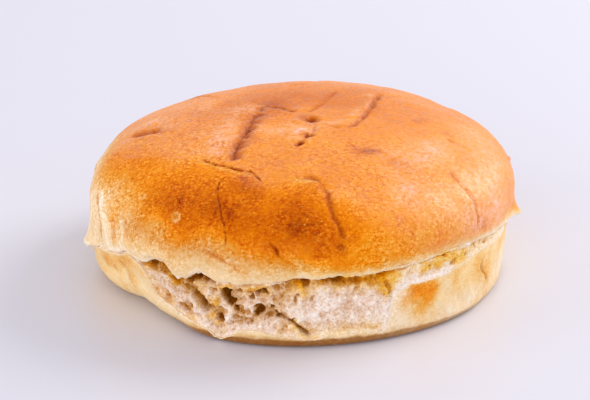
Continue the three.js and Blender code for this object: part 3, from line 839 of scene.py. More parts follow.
# %% Sizes of the heel
HEEL_REACH = [
    (0, 52.3), (45, 52), (135, 52.1), (180, 52.4), (200, 53.7), (220, 52.9), (250, 52.6), (290, 52),
    (330, 52.7),
]
FOOT_REACH = [
    (0, 50.7), (45, 50.4), (90, 50), (135, 50), (180, 51.8), (205, 50.7), (215, 50.2), (222, 49.6),
    (228, 49.4), (233, 49.7), (240, 50.8), (247, 51.8), (260, 52), (285, 51.6), (320, 51.6),
    (340, 50.8),
]
FOOT_ROUND = [
    (0, 1.6), (90, 2.6), (150, 4), (190, 6.4), (204, 7.2), (210, 8.6), (215, 10.2), (222, 8.1),
    (228, 6), (233, 4.8), (240, 3.1), (248, 2.3), (262, 2), (285, 2), (300, 2.2), (330, 2.2),
]
CLOSED_GAP = 0.8
LOWEST_EDGE = 0.5
BROKEN_EDGE = [
    (220.5, 15.4), (222.8, 14.6), (224.4, 10.8), (226.5, 7.2), (229.9, 6), (234, 4.9), (237.9, 4.3),
    (241.6, 3.5), (245.2, 2.4), (246.9, 1.2), (248, 0.9), (252.3, 2.5), (254.2, 3.6), (257.2, 4.5),
    (260.1, 4.1), (262.2, 3.4), (266, 3), (273.1, 2.4), (277.8, 2.8), (281.8, 3.1), (287.2, 2.9),
    (291.8, 2.6), (292.8, 3), (293.7, 5.6), (294.3, 9), (295.6, 12.2), (300, 13.6), (306.4, 13.9),
    (311.7, 13.7), (315.9, 14.5), (321, 15.4), (325, 16), (333, 15.7), (343, 14.8), (350, 16.2),
]
EDGE_FINE = [(130, 0.3), (330, 0.2), (800, 0.12)]
CRUST_THICKNESS = [
    (90, 0.9), (215, 1), (245, 1), (283, 0.7), (289, 0.2), (296, 0.1), (300, 0.22), (345, 0.22),
    (355, 0.8),
]


def heel_radius(bearing, height):
    """Radius of the smooth heel: a side that leans in, and a round foot."""
    foot = around(FOOT_REACH, bearing)
    turn = around(FOOT_ROUND, bearing)
    lean = (height - turn) / (around(LIP_HEIGHT, bearing) - turn)
    side = foot + (around(HEEL_REACH, bearing) - foot) * lean
    low = np.clip(turn - height, 0, turn)
    return np.where(height < turn, foot - turn + np.sqrt(turn**2 - low**2), side)


def heel_place(bearing, height):
    return on_circle(bearing, heel_radius(np.asarray(bearing, float), height), height)


def crust_edge(bearing):
    """Height of the heel crust's edge: broken low on the torn side, just under the lip elsewhere."""
    at, height = np.array(BROKEN_EDGE).T
    closed = lip_height(bearing) - CLOSED_GAP
    broken = np.interp(bearing, at, height) + fine_waves(bearing, EDGE_FINE, 8)
    torn = (bearing > at[0]) & (bearing < at[-1])
    return np.maximum(np.where(torn, np.minimum(broken, closed), closed), LOWEST_EDGE)


print("crust edge at the front", np.round(crust_edge(np.arange(230.0, 320.0, 20.0)), 1))

# %% Marks and stains of the heel
HEEL_MARKS = {
    # width, height, step, dark, path of (bearing, height)
    "left_fold": (0.55, -0.55, 0.2, 0.25, [(211.8, 14.7), (213.7, 10.9), (215.1, 7.2), (216, 4.5)]),
    "right_fold": (0.5, -0.5, 0.25, 0.3, [(326.6, 13.7), (326.8, 10.5), (329.3, 7.8), (332, 5)]),
    "left_dip": (0.9, -0.4, 0, 0.2, [(203, 10.2), (200, 8)]),
    "orange_dip": (1.6, -0.35, 0, 0, [(300, 11.9), (303, 10)]),
    "right_side_dip": (0.9, -0.4, 0, 0.2, [(24, 12), (22, 7.5), (25, 4)]),
    "back_dip": (0.9, -0.5, 0, 0.2, [(74, 10.5), (78, 6), (76, 3.5)]),
    "left_back_dip": (0.8, -0.4, 0, 0.2, [(133, 9.5), (130, 6.5)]),
    "soft_fold_a": (1.2, 0.3, 0, 0, [(309, 9), (311, 5.5), (313, 3)]),
    "soft_fold_b": (1, -0.25, 0, 0, [(315, 8.5), (317, 5), (318, 3)]),
    "soft_fold_c": (1.1, 0.25, 0, 0, [(320.5, 8.5), (322, 5), (324, 3)]),
}
HEEL_STEP_REACH = 2.0
HEEL_STAINS = [
    # width, strength, path of (bearing, height)
    (2.6, 0.5, [(299, 11), (302.5, 12.2), (305.8, 11), (305.2, 8.6)]),
    (3.5, 0.12, [(325, 12), (329, 9)]),
    (1.3, 0.2, [(307, 14.4), (312, 15.4)]),
    (2.2, 0.08, [(303, 6.5), (306, 4)]),
    (4, -0.08, [(312, 5), (322, 4.5)]),
    (4, -0.1, [(236, 4), (226, 8)]),
    (2.6, 0.16, [(204, 9), (208, 11), (216, 13)]),
    (6, 0.18, [(95, 7), (105, 6)]),
    (6, 0.1, [(20, 7), (30, 6)]),
]
HEEL_PALE = [
    (4.2, 0.85, [(293.5, 2), (294.5, 6), (296, 10.5)]),
    (3.2, 0.6, [(300, 2.2), (310, 2.6), (322, 3.2), (335, 4), (350, 5)]),
    (2.5, 0.4, [(338, 8), (350, 9)]),
    (2.2, 0.35, [(312, 9), (313, 4)]),
    (1.6, 0.4, [(320.5, 8), (322, 4)]),
    (3, 0.3, [(236, 2.5), (228, 5.5), (220, 10)]),
]
# how strongly the tray shows, and the painted shade along the foot where it meets the ground, as
# (bearing, strength)
TRAY_MARK = [
    (60, 0.5), (150, 0.4), (200, 0.15), (230, 0.2), (242, 0.8), (252, 1), (285, 0.9), (303, 0.25),
    (330, 0.1),
]
PAINTED_FOOT_SHADE = [
    (60, 0.5), (150, 0.4), (200, 0.15), (228, 0.3), (236, 0.6), (245, 1), (285, 1), (303, 0.75),
    (318, 0.5), (330, 0.15),
]
UPRIGHT = [1, 1, 0.3]


def heel_relief_at(points, normals, height):
    """How far the heel's side stands out at each point, and how dark its marks are."""
    relief, shade = mark_layers(points, normals, HEEL_MARKS, heel_place, HEEL_STEP_REACH)
    relief = relief.reshape(height.shape) + 0.12 * lumps(points * UPRIGHT, 2.2, 6) + crust_lumps(points)
    return relief * smooth(0, 2.5, height), shade


print(len(HEEL_MARKS), "marks and", len(HEEL_STAINS + HEEL_PALE), "stains on the heel")

# %% Heel surface
HEEL_COLUMNS = 1200
HEEL_CROWDING = 30.0
SIDE_ROWS = 46
SIDE_CROWDING = 1.2
SIDE_DROP = 0.25
FOOT_ROWS = 12

heel_bearing = crowded(np.arange(HEEL_COLUMNS) * 360 / HEEL_COLUMNS, HEEL_CROWDING)
edge = crust_edge(heel_bearing)
foot_turn = np.minimum(around(FOOT_ROUND, heel_bearing), edge - 0.2)
side_top = edge - SIDE_DROP
side_share = np.linspace(0, 1, SIDE_ROWS)[:, None] ** SIDE_CROWDING
foot_angle = np.linspace(0, np.pi / 2, FOOT_ROWS + 1)[1:, None]
side_height = np.concatenate([
    side_top + (foot_turn - side_top) * side_share, foot_turn * (1 - np.sin(foot_angle))
])
side_bearing = np.broadcast_to(heel_bearing, side_height.shape)
side = heel_place(side_bearing, side_height)
side_normal = on_circle(side_bearing, 1.0, 0.0)
heel_relief, heel_dark = heel_relief_at(side, side_normal, side_height)
side = side + side_normal * heel_relief[..., None]
print("heel relief", span(heel_relief), "mm")

# %% Colour layers of the heel
HEEL_BAKE = 0.11
PAINTED_FOOT_SHADE_DARK = 0.8

flat_side, flat_normal = side.reshape(-1, 3), side_normal.reshape(-1, 3)
heel_bake = HEEL_BAKE + 0.07 * lumps(flat_side, 8, 11) + 0.07 * lumps(flat_side * UPRIGHT, 2.5, 12)
heel_bake += stained(shaken(flat_side, 1.2, 4.0, 47), flat_normal, HEEL_STAINS, heel_place)
heel_pale = stained(shaken(flat_side, 1.0, 3.0, 49), flat_normal, HEEL_PALE, heel_place)
tray = around(TRAY_MARK, side_bearing) * smooth(3.8, 2.0, side_height + 0.5 * lumps(side, 2.2, 13))
# Painted shade: a dark line low on the foot, where the heel meets the ground.
strength = around(PAINTED_FOOT_SHADE, side_bearing)
hidden_below = 1.05 + 0.1 * foot_turn + 0.2 * lumps(side, 1.5, 14)
painted_foot_shade = smooth(0.35 + 0.9 * strength, 0.2 + 0.45 * strength, side_height - hidden_below) * strength
heel_dark = np.maximum(heel_dark, PAINTED_FOOT_SHADE_DARK * painted_foot_shade.ravel())
print("the foot's line darkens", int((painted_foot_shade > 0.5).sum()), "points")

# %% Heel mesh
BASE_ROWS = 8
INNER_FLOOR = 1.0
EDGE_ROWS = [
    # mm inward, share of the thickness inward, share of the curl, mm down, lowest height
    (8, 0, 0, 3, 0.3), (1.8, 1, 0, 2.8, 0.32), (0, 1, 0, SIDE_DROP, 0),
    (0, 0.7, 0, 0.05, 0), (0, 0.3, 1, 0, 0), (0, 0.08, 1, 0.08, 0),
]
RIM_PALENESS = [(90, 1), (282, 1), (289, 0.4), (296, 0.2), (303, 0.6), (345, 0.8)]
RIM_CREAM = 0.6

top_radius = np.linalg.norm(side[0, :, :2], axis=-1)
curl = 0.4 * np.clip(wander(heel_bearing, 60, 9), 0, 1) + 0.15 * wander(heel_bearing, 500, 10)
thick = around(CRUST_THICKNESS, heel_bearing)
edge_rows = np.stack([
    on_circle(
        heel_bearing,
        top_radius - inward + (curled * curl - share) * thick,
        np.maximum(edge - down, lowest),
    )
    for inward, share, curled, down, lowest in EDGE_ROWS
])
base_rows = side[-1] * np.linspace(1, 0, BASE_ROWS + 1)[1:-1, None, None]
middles = [[0, 0, 0], [0, 0, INNER_FLOOR]]
points = np.concatenate([edge_rows.reshape(-1, 3), flat_side, base_rows.reshape(-1, 3), middles])
rows = len(edge_rows) + len(side) + len(base_rows)
triangles = np.concatenate([
    tube_triangles(rows, HEEL_COLUMNS),
    cap_triangles((rows - 1) * HEEL_COLUMNS + np.arange(HEEL_COLUMNS), len(points) - 2, True),
    cap_triangles(np.arange(HEEL_COLUMNS), len(points) - 1, False),
])
torn_rim = smooth(1.1, 0.2, edge - side_height) * around(RIM_PALENESS, side_bearing)


def heel_layer(on_edge, on_side, on_base):
    """One layer of the heel, from a number or one number a point for each of its parts."""
    counts = edge_rows[..., 0].size, side_height.size, base_rows[..., 0].size + len(middles)
    parts = zip(counts, (on_edge, on_side, on_base))
    return np.concatenate([np.zeros(count) + np.ravel(value) for count, value in parts])


heel = make_piece("heel", points, triangles, {
    "bake": heel_layer(0.06, heel_bake, 0.5),
    "dark": heel_layer(0.0, heel_dark, 0.0),
    "pale": heel_layer(0.75, np.clip(RIM_CREAM * torn_rim.ravel() + heel_pale, 0, 0.9), 0.0),
    "glaze": heel_layer(0.0, 0.2, 0.0),
    "bloom": heel_layer(0.0, 0.0, 0.0),
    "grain": heel_layer(0.6, 0.6, 0.6),
    "tray": heel_layer(0.0, tray, 1.0),
})

# %% [markdown]
# ## The open crumb
#
# Crumb is a foam: bubbles of every size with thin walls between them. Bubbles of several sizes are
# pressed into the torn face, one inside the other, and the large holes that show are placed one by one.
# A ragged fringe of pale crumb hangs from the lip, and the face goes in behind it, so that the lip
# throws its shadow there.

# %% Tables of the open crumb
# Each table holds (bearing, value). COARSENESS scales the bubbles and BRIGHTNESS lightens the crumb.
# The others are in mm: how far the face lies in, how far it is cut in under the lip and how far down
# that goes, and how long the fringe is that hangs from the lip.
FACE_INSET = [
    (90, 1), (215, 1), (245, 1.1), (262, 1.1), (282, 0.75), (289, 0.22), (294, 0.12), (300, 0.2),
    (345, 0.22), (355, 1),
]
COARSENESS = [
    (90, 0.4), (215, 0.4), (222, 0.35), (231, 0.5), (238, 0.95), (262, 1), (268, 0.65), (284, 0.5),
    (290, 0.38), (297, 0.35), (345, 0.35), (355, 0.4),
]
BRIGHTNESS = [
    (90, 0.6), (215, -0.2), (224, -0.6), (233, -0.4), (240, 0.05), (262, 0.05), (270, 0.45), (277, 0.72),
    (288, 0.65), (296, 0.65), (345, 0.7),
]
UNDERCUT = [
    (90, 1.5), (215, 1.6), (224, 2), (233, 2), (240, 1.6), (247, 0.8), (256, 0.5), (264, 0.9),
    (271, 1.5), (282, 1.5), (291, 1.3), (295, 0.6), (301, 1), (310, 1), (314, 0.3), (340, 0.3),
    (352, 1.4),
]
UNDERCUT_DEEP = [
    (215, 2), (228, 3), (240, 2), (250, 1.2), (262, 1.5), (272, 2.8), (290, 2.6), (296, 0.8),
    (301, 0.5), (311, 0.5), (316, 0.8), (340, 0.8),
]
FRINGE = [
    (90, 0.1), (215, 0.1), (228, 0.1), (236, 0.4), (240, 1.2), (246, 1.9), (256, 1.9), (262, 1.6),
    (268, 0.9), (272, 0.35), (290, 0.4), (296, 0.3), (300, 0.05), (312, 0.05), (318, 0.5), (345, 0.5),
    (352, 0.1),
]
print("the crumb lies", around(FACE_INSET, 250).round(2), "mm in at the front")

# %% Holes, stains and marks of the crumb
# bearing, height, half width, half height, depth
CRUMB_HOLES = [
    (227.5, 15, 2.6, 1.7, 0.9), (231.3, 15.4, 2.4, 1.8, 1.1), (234.6, 13.2, 1.4, 1.4, 1),
    (241.3, 15.5, 0.9, 0.85, 1.7), (244.2, 15.4, 0.95, 0.75, 1.9), (251.4, 16, 1.3, 0.45, 0.9),
    (246.4, 12.6, 1.1, 1.1, 1.2), (250.2, 12.5, 1.7, 1.6, 3.2), (251.6, 10.4, 1.2, 1.3, 2.8),
    (253, 8.4, 0.8, 1, 1.6), (256.9, 12.6, 1, 0.9, 1.9), (258.8, 13.8, 1, 0.8, 1.7),
    (260.6, 14.2, 0.8, 0.8, 1.9), (258.9, 8.9, 1.35, 1.5, 2.4), (248.1, 5.6, 1.4, 1.2, 2.2),
    (245.8, 8.2, 0.8, 1.1, 0.9), (262.5, 9.8, 0.6, 0.45, 1.3), (264.4, 8.1, 0.5, 0.4, 1.2),
    (267.4, 6.8, 0.9, 0.4, 1.3), (269.9, 5, 0.8, 0.45, 1.4), (272.2, 3.4, 0.6, 0.5, 1.2),
    (268.7, 12.4, 0.55, 1.3, 1), (273.1, 11.9, 0.5, 0.8, 0.8), (271, 16.6, 1.1, 1.9, 1.9),
    (275.5, 17.4, 2.2, 0.6, 1), (279.6, 16.7, 2.6, 1, 0.8), (281, 15.4, 0.7, 0.9, 0.7),
    (284.5, 16.4, 2.2, 1.1, 0.9), (288.6, 15.9, 1.6, 1.6, 0.8), (291.6, 16, 1.7, 1.9, 0.9),
    (293.4, 13.8, 0.9, 1.9, 0.9), (285, 14.3, 0.6, 0.7, 0.8), (310.8, 18.3, 0.9, 0.5, 1.6),
    (314.3, 16.2, 1.1, 1, 0.7), (323.3, 17.6, 0.45, 0.4, 1), (328.1, 17.5, 0.5, 0.4, 1),
    (333.1, 17.2, 0.5, 0.35, 1), (338, 16.6, 0.4, 0.3, 0.9), (306, 16.6, 0.5, 0.35, 0.9),
    (318.5, 16.9, 0.4, 0.5, 0.8),
]
CRUMB_STAINS = [
    # width, strength, path of (bearing, height)
    (2.3, 1, [(269.3, 17), (277, 17), (285, 16.5), (293.5, 16.6)]),
    (1.2, 0.7, [(270.3, 16.5), (271, 13)]),
    (1.2, 0.9, [(293.2, 16.5), (293.6, 13.2)]),
    (1.7, 1, [(225, 15), (229.5, 15.6), (232.3, 14.6), (234.2, 12.8)]),
    (1.6, 1, [(236, 12.9), (241.4, 11), (244, 9), (246.5, 10), (246.6, 7)]),
    (1.2, 0.6, [(236.5, 5.4), (241, 4)]),
    (2.6, 0.36, [(236, 14.3), (244, 14.3), (252, 14.3), (260, 14.6)]),
    (1.3, 0.5, [(223, 12), (227, 8.6), (232, 6.4)]),
    (1.4, 0.85, [(247.5, 5.8), (248.3, 3.6)]),
    (1.6, 0.85, [(250.6, 13.4), (253, 9)]),
    (1.8, 0.5, [(257.5, 13.2), (260.6, 13.6)]),
    (2.4, 0.25, [(264, 13), (270, 13.5)]),
    (1.3, 0.6, [(290.5, 14), (293.2, 12)]),
    (1.4, 0.6, [(259, 9.4), (258.6, 8.2)]),
    (1.2, 0.7, [(262.3, 9.9), (267.3, 6.9), (273.2, 2.4)]),
    (2, 0.4, [(266, 4.6), (275, 3.6), (290, 4)]),
    (2, 0.45, [(296, 16.6), (300, 17.4)]),
    (1.8, 0.9, [(303.5, 17.4), (309, 17.4)]),
    (2, 0.4, [(318, 17.2), (330, 17.6), (342, 16.6)]),
    (2, 1, [(310.5, 18.2), (313.5, 17.4), (316.5, 16.9)]),
]
CRUMB_MARKS = {
    # width, height, step, dark, path of (bearing, height)
    "hollow": (1.4, -1.15, 0, 0.4, [
        (236.5, 12.8), (238.9, 11.9), (241.4, 10.2), (243.7, 8.4), (245.2, 6.2),
    ]),
    "crescent": (0.8, 0.9, 0, 0, [
        (237, 10.9), (239.3, 10.2), (241.4, 8.9), (243.2, 7.4), (244.4, 5.5), (245.6, 3.4),
    ]),
    "bright_sheet": (1.6, 0.5, 0, 0, [(237.6, 9.4), (240.5, 7.2), (243.4, 4.8), (246.7, 2.6)]),
    "membrane": (0.42, 1.2, 0, 0, [
        (238.6, 13.9), (240.3, 14.1), (243.3, 13.8), (248.5, 14.2), (253.2, 14.1),
        (255.7, 15), (260.7, 15),
    ]),
    "crack": (0.42, -0.6, 0, 0.6, [(262.3, 9.9), (264.3, 8.1), (267.3, 6.9), (269.9, 5), (273.2, 2.4)]),
    "hole_floor": (1.3, -0.2, 0, 0.7, [(249.8, 12.8), (251.2, 11.2), (251.8, 9.8)]),
    "flap": (1.5, 0.5, 0, 0, [(262, 5.6), (265.5, 5.2), (269.5, 3.4)]),
}
print(len(CRUMB_HOLES), "large holes and", len(CRUMB_MARKS), "marks in the crumb")

# %% Depth of the crumb
# pitch, depth, layer
BUBBLES = [(3.4, 0.75, 21), (1.9, 0.6, 22), (1.05, 0.34, 23), (0.6, 0.18, 24)]
BUBBLE_RADIUS = 0.52
BEARING_MM = 0.92


def cup(share):
    """Depth of a round hole at a share of its radius."""
    return np.sqrt(np.clip(1 - share**2, 0, 1))


def loosened(points, layer):
    """How far the edges of the large holes wander."""
    return 0.55 * lumps(points, 1.5, layer) + 0.4 * lumps(points, 0.7, layer + 1)


def crumb_depth(bearing, height, points):
    """How far the crumb's face lies inside the heel's side."""
    lip = lip_height(bearing)
    edge = crust_edge(bearing)
    inset = around(FACE_INSET, bearing)
    coarse = around(COARSENESS, bearing)
    wide = smooth(1.0, 3, lip - edge)
    depth = inset + coarse * (0.55 * lumps(points, 6, 20) + 0.3 * lumps(points, 2.5, 25))

    below = lip - around(FRINGE, bearing) * (1 + 0.6 * lumps(points, 1.7, 26)) - height
    cave = np.clip(0.65 + 0.75 * lumps(points, 3.0, 27), 0.15, 1.3)
    cut = smooth(-0.2, 0.25, below) * smooth(1, 0.3, below / around(UNDERCUT_DEEP, bearing))
    depth += around(UNDERCUT, bearing) * cave * cut
    depth -= 0.5 * wide * smooth(0.3, -0.2, below) * inset

    loose_across, loose_up = loosened(points, 28), loosened(points, 30)
    for middle, level, half_width, half_height, deep in CRUMB_HOLES:
        across = (turn_from(bearing, middle) * BEARING_MM + loose_across) / half_width
        up = (height - level + loose_up) / half_height
        depth += deep * cup(np.hypot(across, up))
    loose = shaken(points, 0.35, 1.3, 51)
    for pitch, deep, layer in BUBBLES:
        depth += deep * (0.25 + 0.75 * wide) * coarse * cup(bubbles(loose, pitch, layer) / BUBBLE_RADIUS)

    at_edge = 0.6 * around(CRUST_THICKNESS, bearing)
    depth += (at_edge - depth) * smooth(1.3, 0.2, height - edge)
    return depth + 1.2 * smooth(0.1, 1.2, edge - height)


print("a round hole is", cup(0.8).round(2), "of its depth at 0.8 of its radius")

# %% Crumb surface
CRUMB_COLUMNS = 1040
CRUMB_ROWS = 90
TEAR_CROWDING = 35.0
CRUMB_STEP_REACH = 1.0
LEAST_DEPTH = 0.1
ABOVE_LIP = 0.4
BELOW_EDGE = 2.0
LOWEST_CRUMB = 0.35

crumb_bearing = crowded(np.arange(CRUMB_COLUMNS) * 360 / CRUMB_COLUMNS, TEAR_CROWDING)
band_top = lip_height(crumb_bearing) + ABOVE_LIP
band_bottom = np.maximum(crust_edge(crumb_bearing) - BELOW_EDGE, LOWEST_CRUMB)
face_height = band_top + (band_bottom - band_top) * np.linspace(0, 1, CRUMB_ROWS)[:, None]
face_bearing = np.broadcast_to(crumb_bearing, face_height.shape)
face = heel_place(face_bearing, face_height)
face_normal = on_circle(face_bearing, 1.0, 0.0)
crumb_height, crumb_dark = mark_layers(face, face_normal, CRUMB_MARKS, heel_place, CRUMB_STEP_REACH)
depth = crumb_depth(face_bearing, face_height, face) - crumb_height.reshape(face_height.shape)
side_relief = heel_relief_at(face, face_normal, face_height)[0]
face = face + face_normal * (side_relief - np.maximum(depth, LEAST_DEPTH))[..., None]
print("crumb depth", span(depth), "mm")

# %% Crumb mesh
BAND_DEPTH = 9.0
BAND_SLOPE = 0.1
DEEPEST = 2.4

inner_rows = np.stack([
    on_circle(crumb_bearing, heel_radius(crumb_bearing, level) - BAND_DEPTH, level + rise)
    for level, rise in ((band_bottom, BAND_SLOPE), (band_top, -BAND_SLOPE))
])
points = np.concatenate([face.reshape(-1, 3), inner_rows.reshape(-1, 3)])
numbers = np.arange(len(points)).reshape(CRUMB_ROWS + len(inner_rows), CRUMB_COLUMNS)
beside = np.roll(numbers, -1, axis=1)
triangles = squares(numbers, np.roll(numbers, -1, axis=0), np.roll(beside, -1, axis=0), beside)
deep = np.clip((depth - around(FACE_INSET, face_bearing) - LEAST_DEPTH) / DEEPEST, 0, 1)
flat_face, flat_normal = face.reshape(-1, 3), face_normal.reshape(-1, 3)
gold = stained(shaken(flat_face, 0.7, 1.6, 53), flat_normal, CRUMB_STAINS, heel_place)
gold = np.clip(gold * (1 + 0.5 * lumps(flat_face, 1.1, 55)), 0, 1)
bright = around(BRIGHTNESS, face_bearing)
on_face = {"deep": deep, "dark": crumb_dark, "bright": bright, "gold": gold}
inside = {"deep": 1.0, "dark": 0.0, "bright": 0.0, "gold": 1.0}
extra = inner_rows[..., 0].size
crumb = make_piece("crumb", points, triangles, {
    name: np.append(layer, np.full(extra, inside[name])) for name, layer in on_face.items()
})

# %% [markdown]
# ## Shader maths as Python
#
# A material is a graph of nodes, and long graphs are hard to read as calls. Here a small class wraps
# one socket, so that an expression such as 1 - mask adds its own Math node, and one method adds any
# other node from its type, its settings and its sockets.

# %% Wires and boards
SCREEN_GAMMA = 2.2


def maths_method(operation, turned=False):
    """A method that joins a wire and another value with a Math node."""
    def joined(self, other):
        return self.maths(operation, *((other, self) if turned else (self, other)))
    return joined


class Wire:
    """One output socket, with Python's operators on it."""

    def __init__(self, board, socket):
        self.board = board
        self.socket = socket

    def maths(self, operation, *values):
        return self.board.add("ShaderNodeMath", {"operation": operation}, dict(enumerate(values)))

    __add__ = maths_method("ADD")
    __radd__ = maths_method("ADD", turned=True)
    __sub__ = maths_method("SUBTRACT")
    __rsub__ = maths_method("SUBTRACT", turned=True)
    __mul__ = maths_method("MULTIPLY")
    __rmul__ = maths_method("MULTIPLY", turned=True)
    most = maths_method("MAXIMUM")
    least = maths_method("MINIMUM")

    def clamped(self):
        return self.least(1.0).most(0.0)

    def between(self, low, high):
        """0 below low, 1 above high, and a soft step between."""
        sockets = {"Value": self, "From Min": low, "From Max": high}
        return self.board.add("ShaderNodeMapRange", {"interpolation_type": "SMOOTHSTEP"}, sockets)


class Board:
    """The node tree of one material."""

    def __init__(self, name):
        self.material = bpy.data.materials.new(name)
        self.material.use_nodes = True
        self.tree = self.material.node_tree
        self.shader = self.tree.nodes["Principled BSDF"]

    def connect(self, socket, value):
        if isinstance(value, Wire):
            self.tree.links.new(value.socket, socket)
        else:
            socket.default_value = value

    def add(self, kind, settings, sockets, output=0):
        """A node of a type, its settings first, then the values or wires of its sockets."""
        node = self.tree.nodes.new(kind)
        for name, value in settings.items():
            if name == "stops":
                ramp = node.color_ramp.elements
                while len(ramp) < len(value):
                    ramp.new(0.5)
                for element, (position, colour) in zip(ramp, value):
                    element.position = position
                    element.color = colour
            else:
                setattr(node, name, value)
        for name, value in sockets.items():
            self.connect(node.inputs[name], value)
        return Wire(self, node.outputs[output])

    def layer(self, name):
        return self.add("ShaderNodeAttribute", {"attribute_name": name}, {}, "Fac")

    @property
    def place(self):
        return self.add("ShaderNodeTexCoord", {}, {}, "Object")

    def noise(self, size_mm, detail=2.0, roughness=0.5, stretch=(1.0, 1.0, 1.0)):
        place = self.vector("MULTIPLY", self.place, stretch)
        sockets = {"Vector": place, "Scale": 1 / (size_mm * MM), "Detail": detail, "Roughness": roughness}
        return self.add("ShaderNodeTexNoise", {}, sockets, "Fac")

    def cells(self, size_mm):
        sockets = {"Vector": self.place, "Scale": 1 / (size_mm * MM)}
        return self.add("ShaderNodeTexVoronoi", {}, sockets, "Distance")

    def mix(self, factor, first, second):
        settings = {"data_type": "RGBA"}
        return self.add("ShaderNodeMix", settings, {0: factor, 6: first, 7: second}, 2)

    def ramp(self, value, stops):
        return self.add("ShaderNodeValToRGB", {"stops": stops}, {"Fac": value})

    def vector(self, operation, first, second):
        return self.add("ShaderNodeVectorMath", {"operation": operation}, {0: first, 1: second})

    def as_light(self, seen):
        """A colour as the screen shows it, turned into the light that it stands for."""
        seen = self.vector("MAXIMUM", seen, (0.0, 0.0, 0.0))
        return self.add("ShaderNodeGamma", {}, {"Color": seen, "Gamma": SCREEN_GAMMA})

    def bump(self, height, strength, distance_mm):
        sockets = {"Height": height, "Strength": strength, "Distance": distance_mm * MM}
        return self.add("ShaderNodeBump", {}, sockets)

    def dress(self, inputs):
        for name, value in inputs.items():
            self.connect(self.shader.inputs[name], value)
        return self.material


def seen(red, green, blue):
    """A colour as a picture shows it, from 0 to 255, as shares of one."""
    return (red / 255, green / 255, blue / 255, 1.0)


print("the screen's gamma is", SCREEN_GAMMA)

# %% [markdown]
# ## Crust
#
# Crust colour comes from the baking map: cream where it hardly baked, then straw, orange gold and a deep
# brown. A fine grain breaks it up, as the crust is full of tiny wrinkles, and tiny pale blisters dot the
# dark part. The crust itself has hardly any shine. The glaze on it is a coat of one gloss, and it lies
# thickest on the top and the right, so it is the coat's weight that changes from place to place.

# %% Crust colours
CRUST_STOPS = [
    (0.0, seen(250, 226, 180)),
    (0.15, seen(245, 203, 134)),
    (0.3, seen(238, 171, 80)),
    (0.42, seen(238, 152, 42)),
    (0.52, seen(240, 139, 22)),
    (0.62, seen(228, 125, 14)),
    (0.8, seen(206, 102, 4)),
    (1.0, seen(152, 62, 0)),
]
# Rosy colour of the painted sheen, a painted highlight.
PAINTED_SHEEN_COLOUR = seen(255, 190, 172)
BLISTER = seen(250, 196, 110)
CREAMS = (seen(228, 202, 172), seen(252, 234, 204))
TRAY_BROWN = seen(210, 168, 110)
# Colours of the dark layer: they darken creases, and they are also the painted shade on the low skirt and
# along the foot.
BAKED_CREVICE_AND_SHADE = seen(136, 50, 14)
CROWN_CREVICE_AND_SHADE = seen(176, 112, 40)
HEEL_CREVICE_AND_SHADE = seen(136, 82, 38)
GRAIN_TINT = (0.75, 1.05, 1.3)
print(len(CRUST_STOPS), "steps from pale to dark crust")

# %% Crust materials
GLAZE = {"Coat Roughness": 0.4, "Coat IOR": 1.65}
# size in mm and detail of the broad, the middle and the small spots
CRUST_SPOTS = [(8, 3), (2.2, 2), (1, 2)]
FLOUR = {"Sheen Weight": 0.22, "Sheen Roughness": 0.35, "Sheen Tint": (1.0, 0.92, 0.82, 1.0)}


def crust_grain(board, grain, bake, fine):
    """Light and dark grain of the crust: fine noise, streaks and pebbles, in patches."""
    streak = board.noise(0.5, 2, 0.5, stretch=(0.4, 1.0, 1.0)) - 0.5
    pebble = 0.45 - board.cells(0.95)
    patches = 0.55 + 2.4 * (board.noise(3.4, 1) - 0.3)
    grain = grain * patches * (0.8 * fine + 0.5 * streak + 0.28 * pebble)
    return grain * (0.45 + 0.55 * bake.between(0.05, 0.35))


def crust_material(name, crevice_and_shade, on_tray):
    board = Board(name)
    names = ("bake", "dark", "pale", "glaze", "bloom", "grain")
    bake, dark, pale, glaze, bloom, grain = (board.layer(layer) for layer in names)
    broad, patch, mottle = (board.noise(size, detail) - 0.5 for size, detail in CRUST_SPOTS)
    fine = board.noise(0.45, 2, 0.7) - 0.5
    grain = crust_grain(board, grain, bake, fine)

    half_baked = bake.between(0.05, 0.3) * (1 - bake.between(0.4, 0.6))
    baked = bake + 0.25 * broad + 0.25 * patch + 0.28 * mottle - (0.2 + 0.26 * half_baked) * grain
    base = board.ramp(baked.clamped(), CRUST_STOPS)
    # Painted sheen: the rosy highlight is mixed into the colour here.
    base = board.mix((bloom * (1.0 + 1.2 * mottle + 1.4 * patch)).clamped(), base, PAINTED_SHEEN_COLOUR)
    blisters = (1 - board.cells(2.4).between(0.07, 0.15)) * board.noise(4.0, 1).between(0.45, 0.62)
    blisters = blisters * bake.between(0.5, 0.72)
    base = board.mix(blisters * 0.6, base, BLISTER)
    base = board.mix((pale * (0.9 + 0.6 * fine + 0.9 * mottle)).clamped(), base, board.mix(pale, *CREAMS))
    if on_tray:
        base = board.mix((board.layer("tray") * (0.9 + 1.6 * patch)).clamped(), base, TRAY_BROWN)
    # The dark layer mixes in the creases and the painted shade.
    shade = board.mix(bake.between(0.1, 0.4), crevice_and_shade, BAKED_CREVICE_AND_SHADE)
    base = board.mix((dark * 0.9).clamped(), base, shade)
    base = board.vector("ADD", base, board.vector("MULTIPLY", 0.41 * grain + 0.15 * mottle, GRAIN_TINT))
    height = 0.55 * board.noise(0.5, 2, 0.7) + 0.45 * board.noise(1.3, 2) + 0.35 * blisters
    return board.dress({
        "Base Color": board.as_light(base),
        "Roughness": 0.62 + 0.3 * fine,
        "Normal": board.bump(height, strength=0.55, distance_mm=0.2),
        "Specular IOR Level": 0.0,
        "Coat Weight": (glaze * (1 - dark) * (0.8 + 1.2 * patch + 1.6 * mottle)).clamped(),
        **GLAZE,
        **FLOUR,
    })


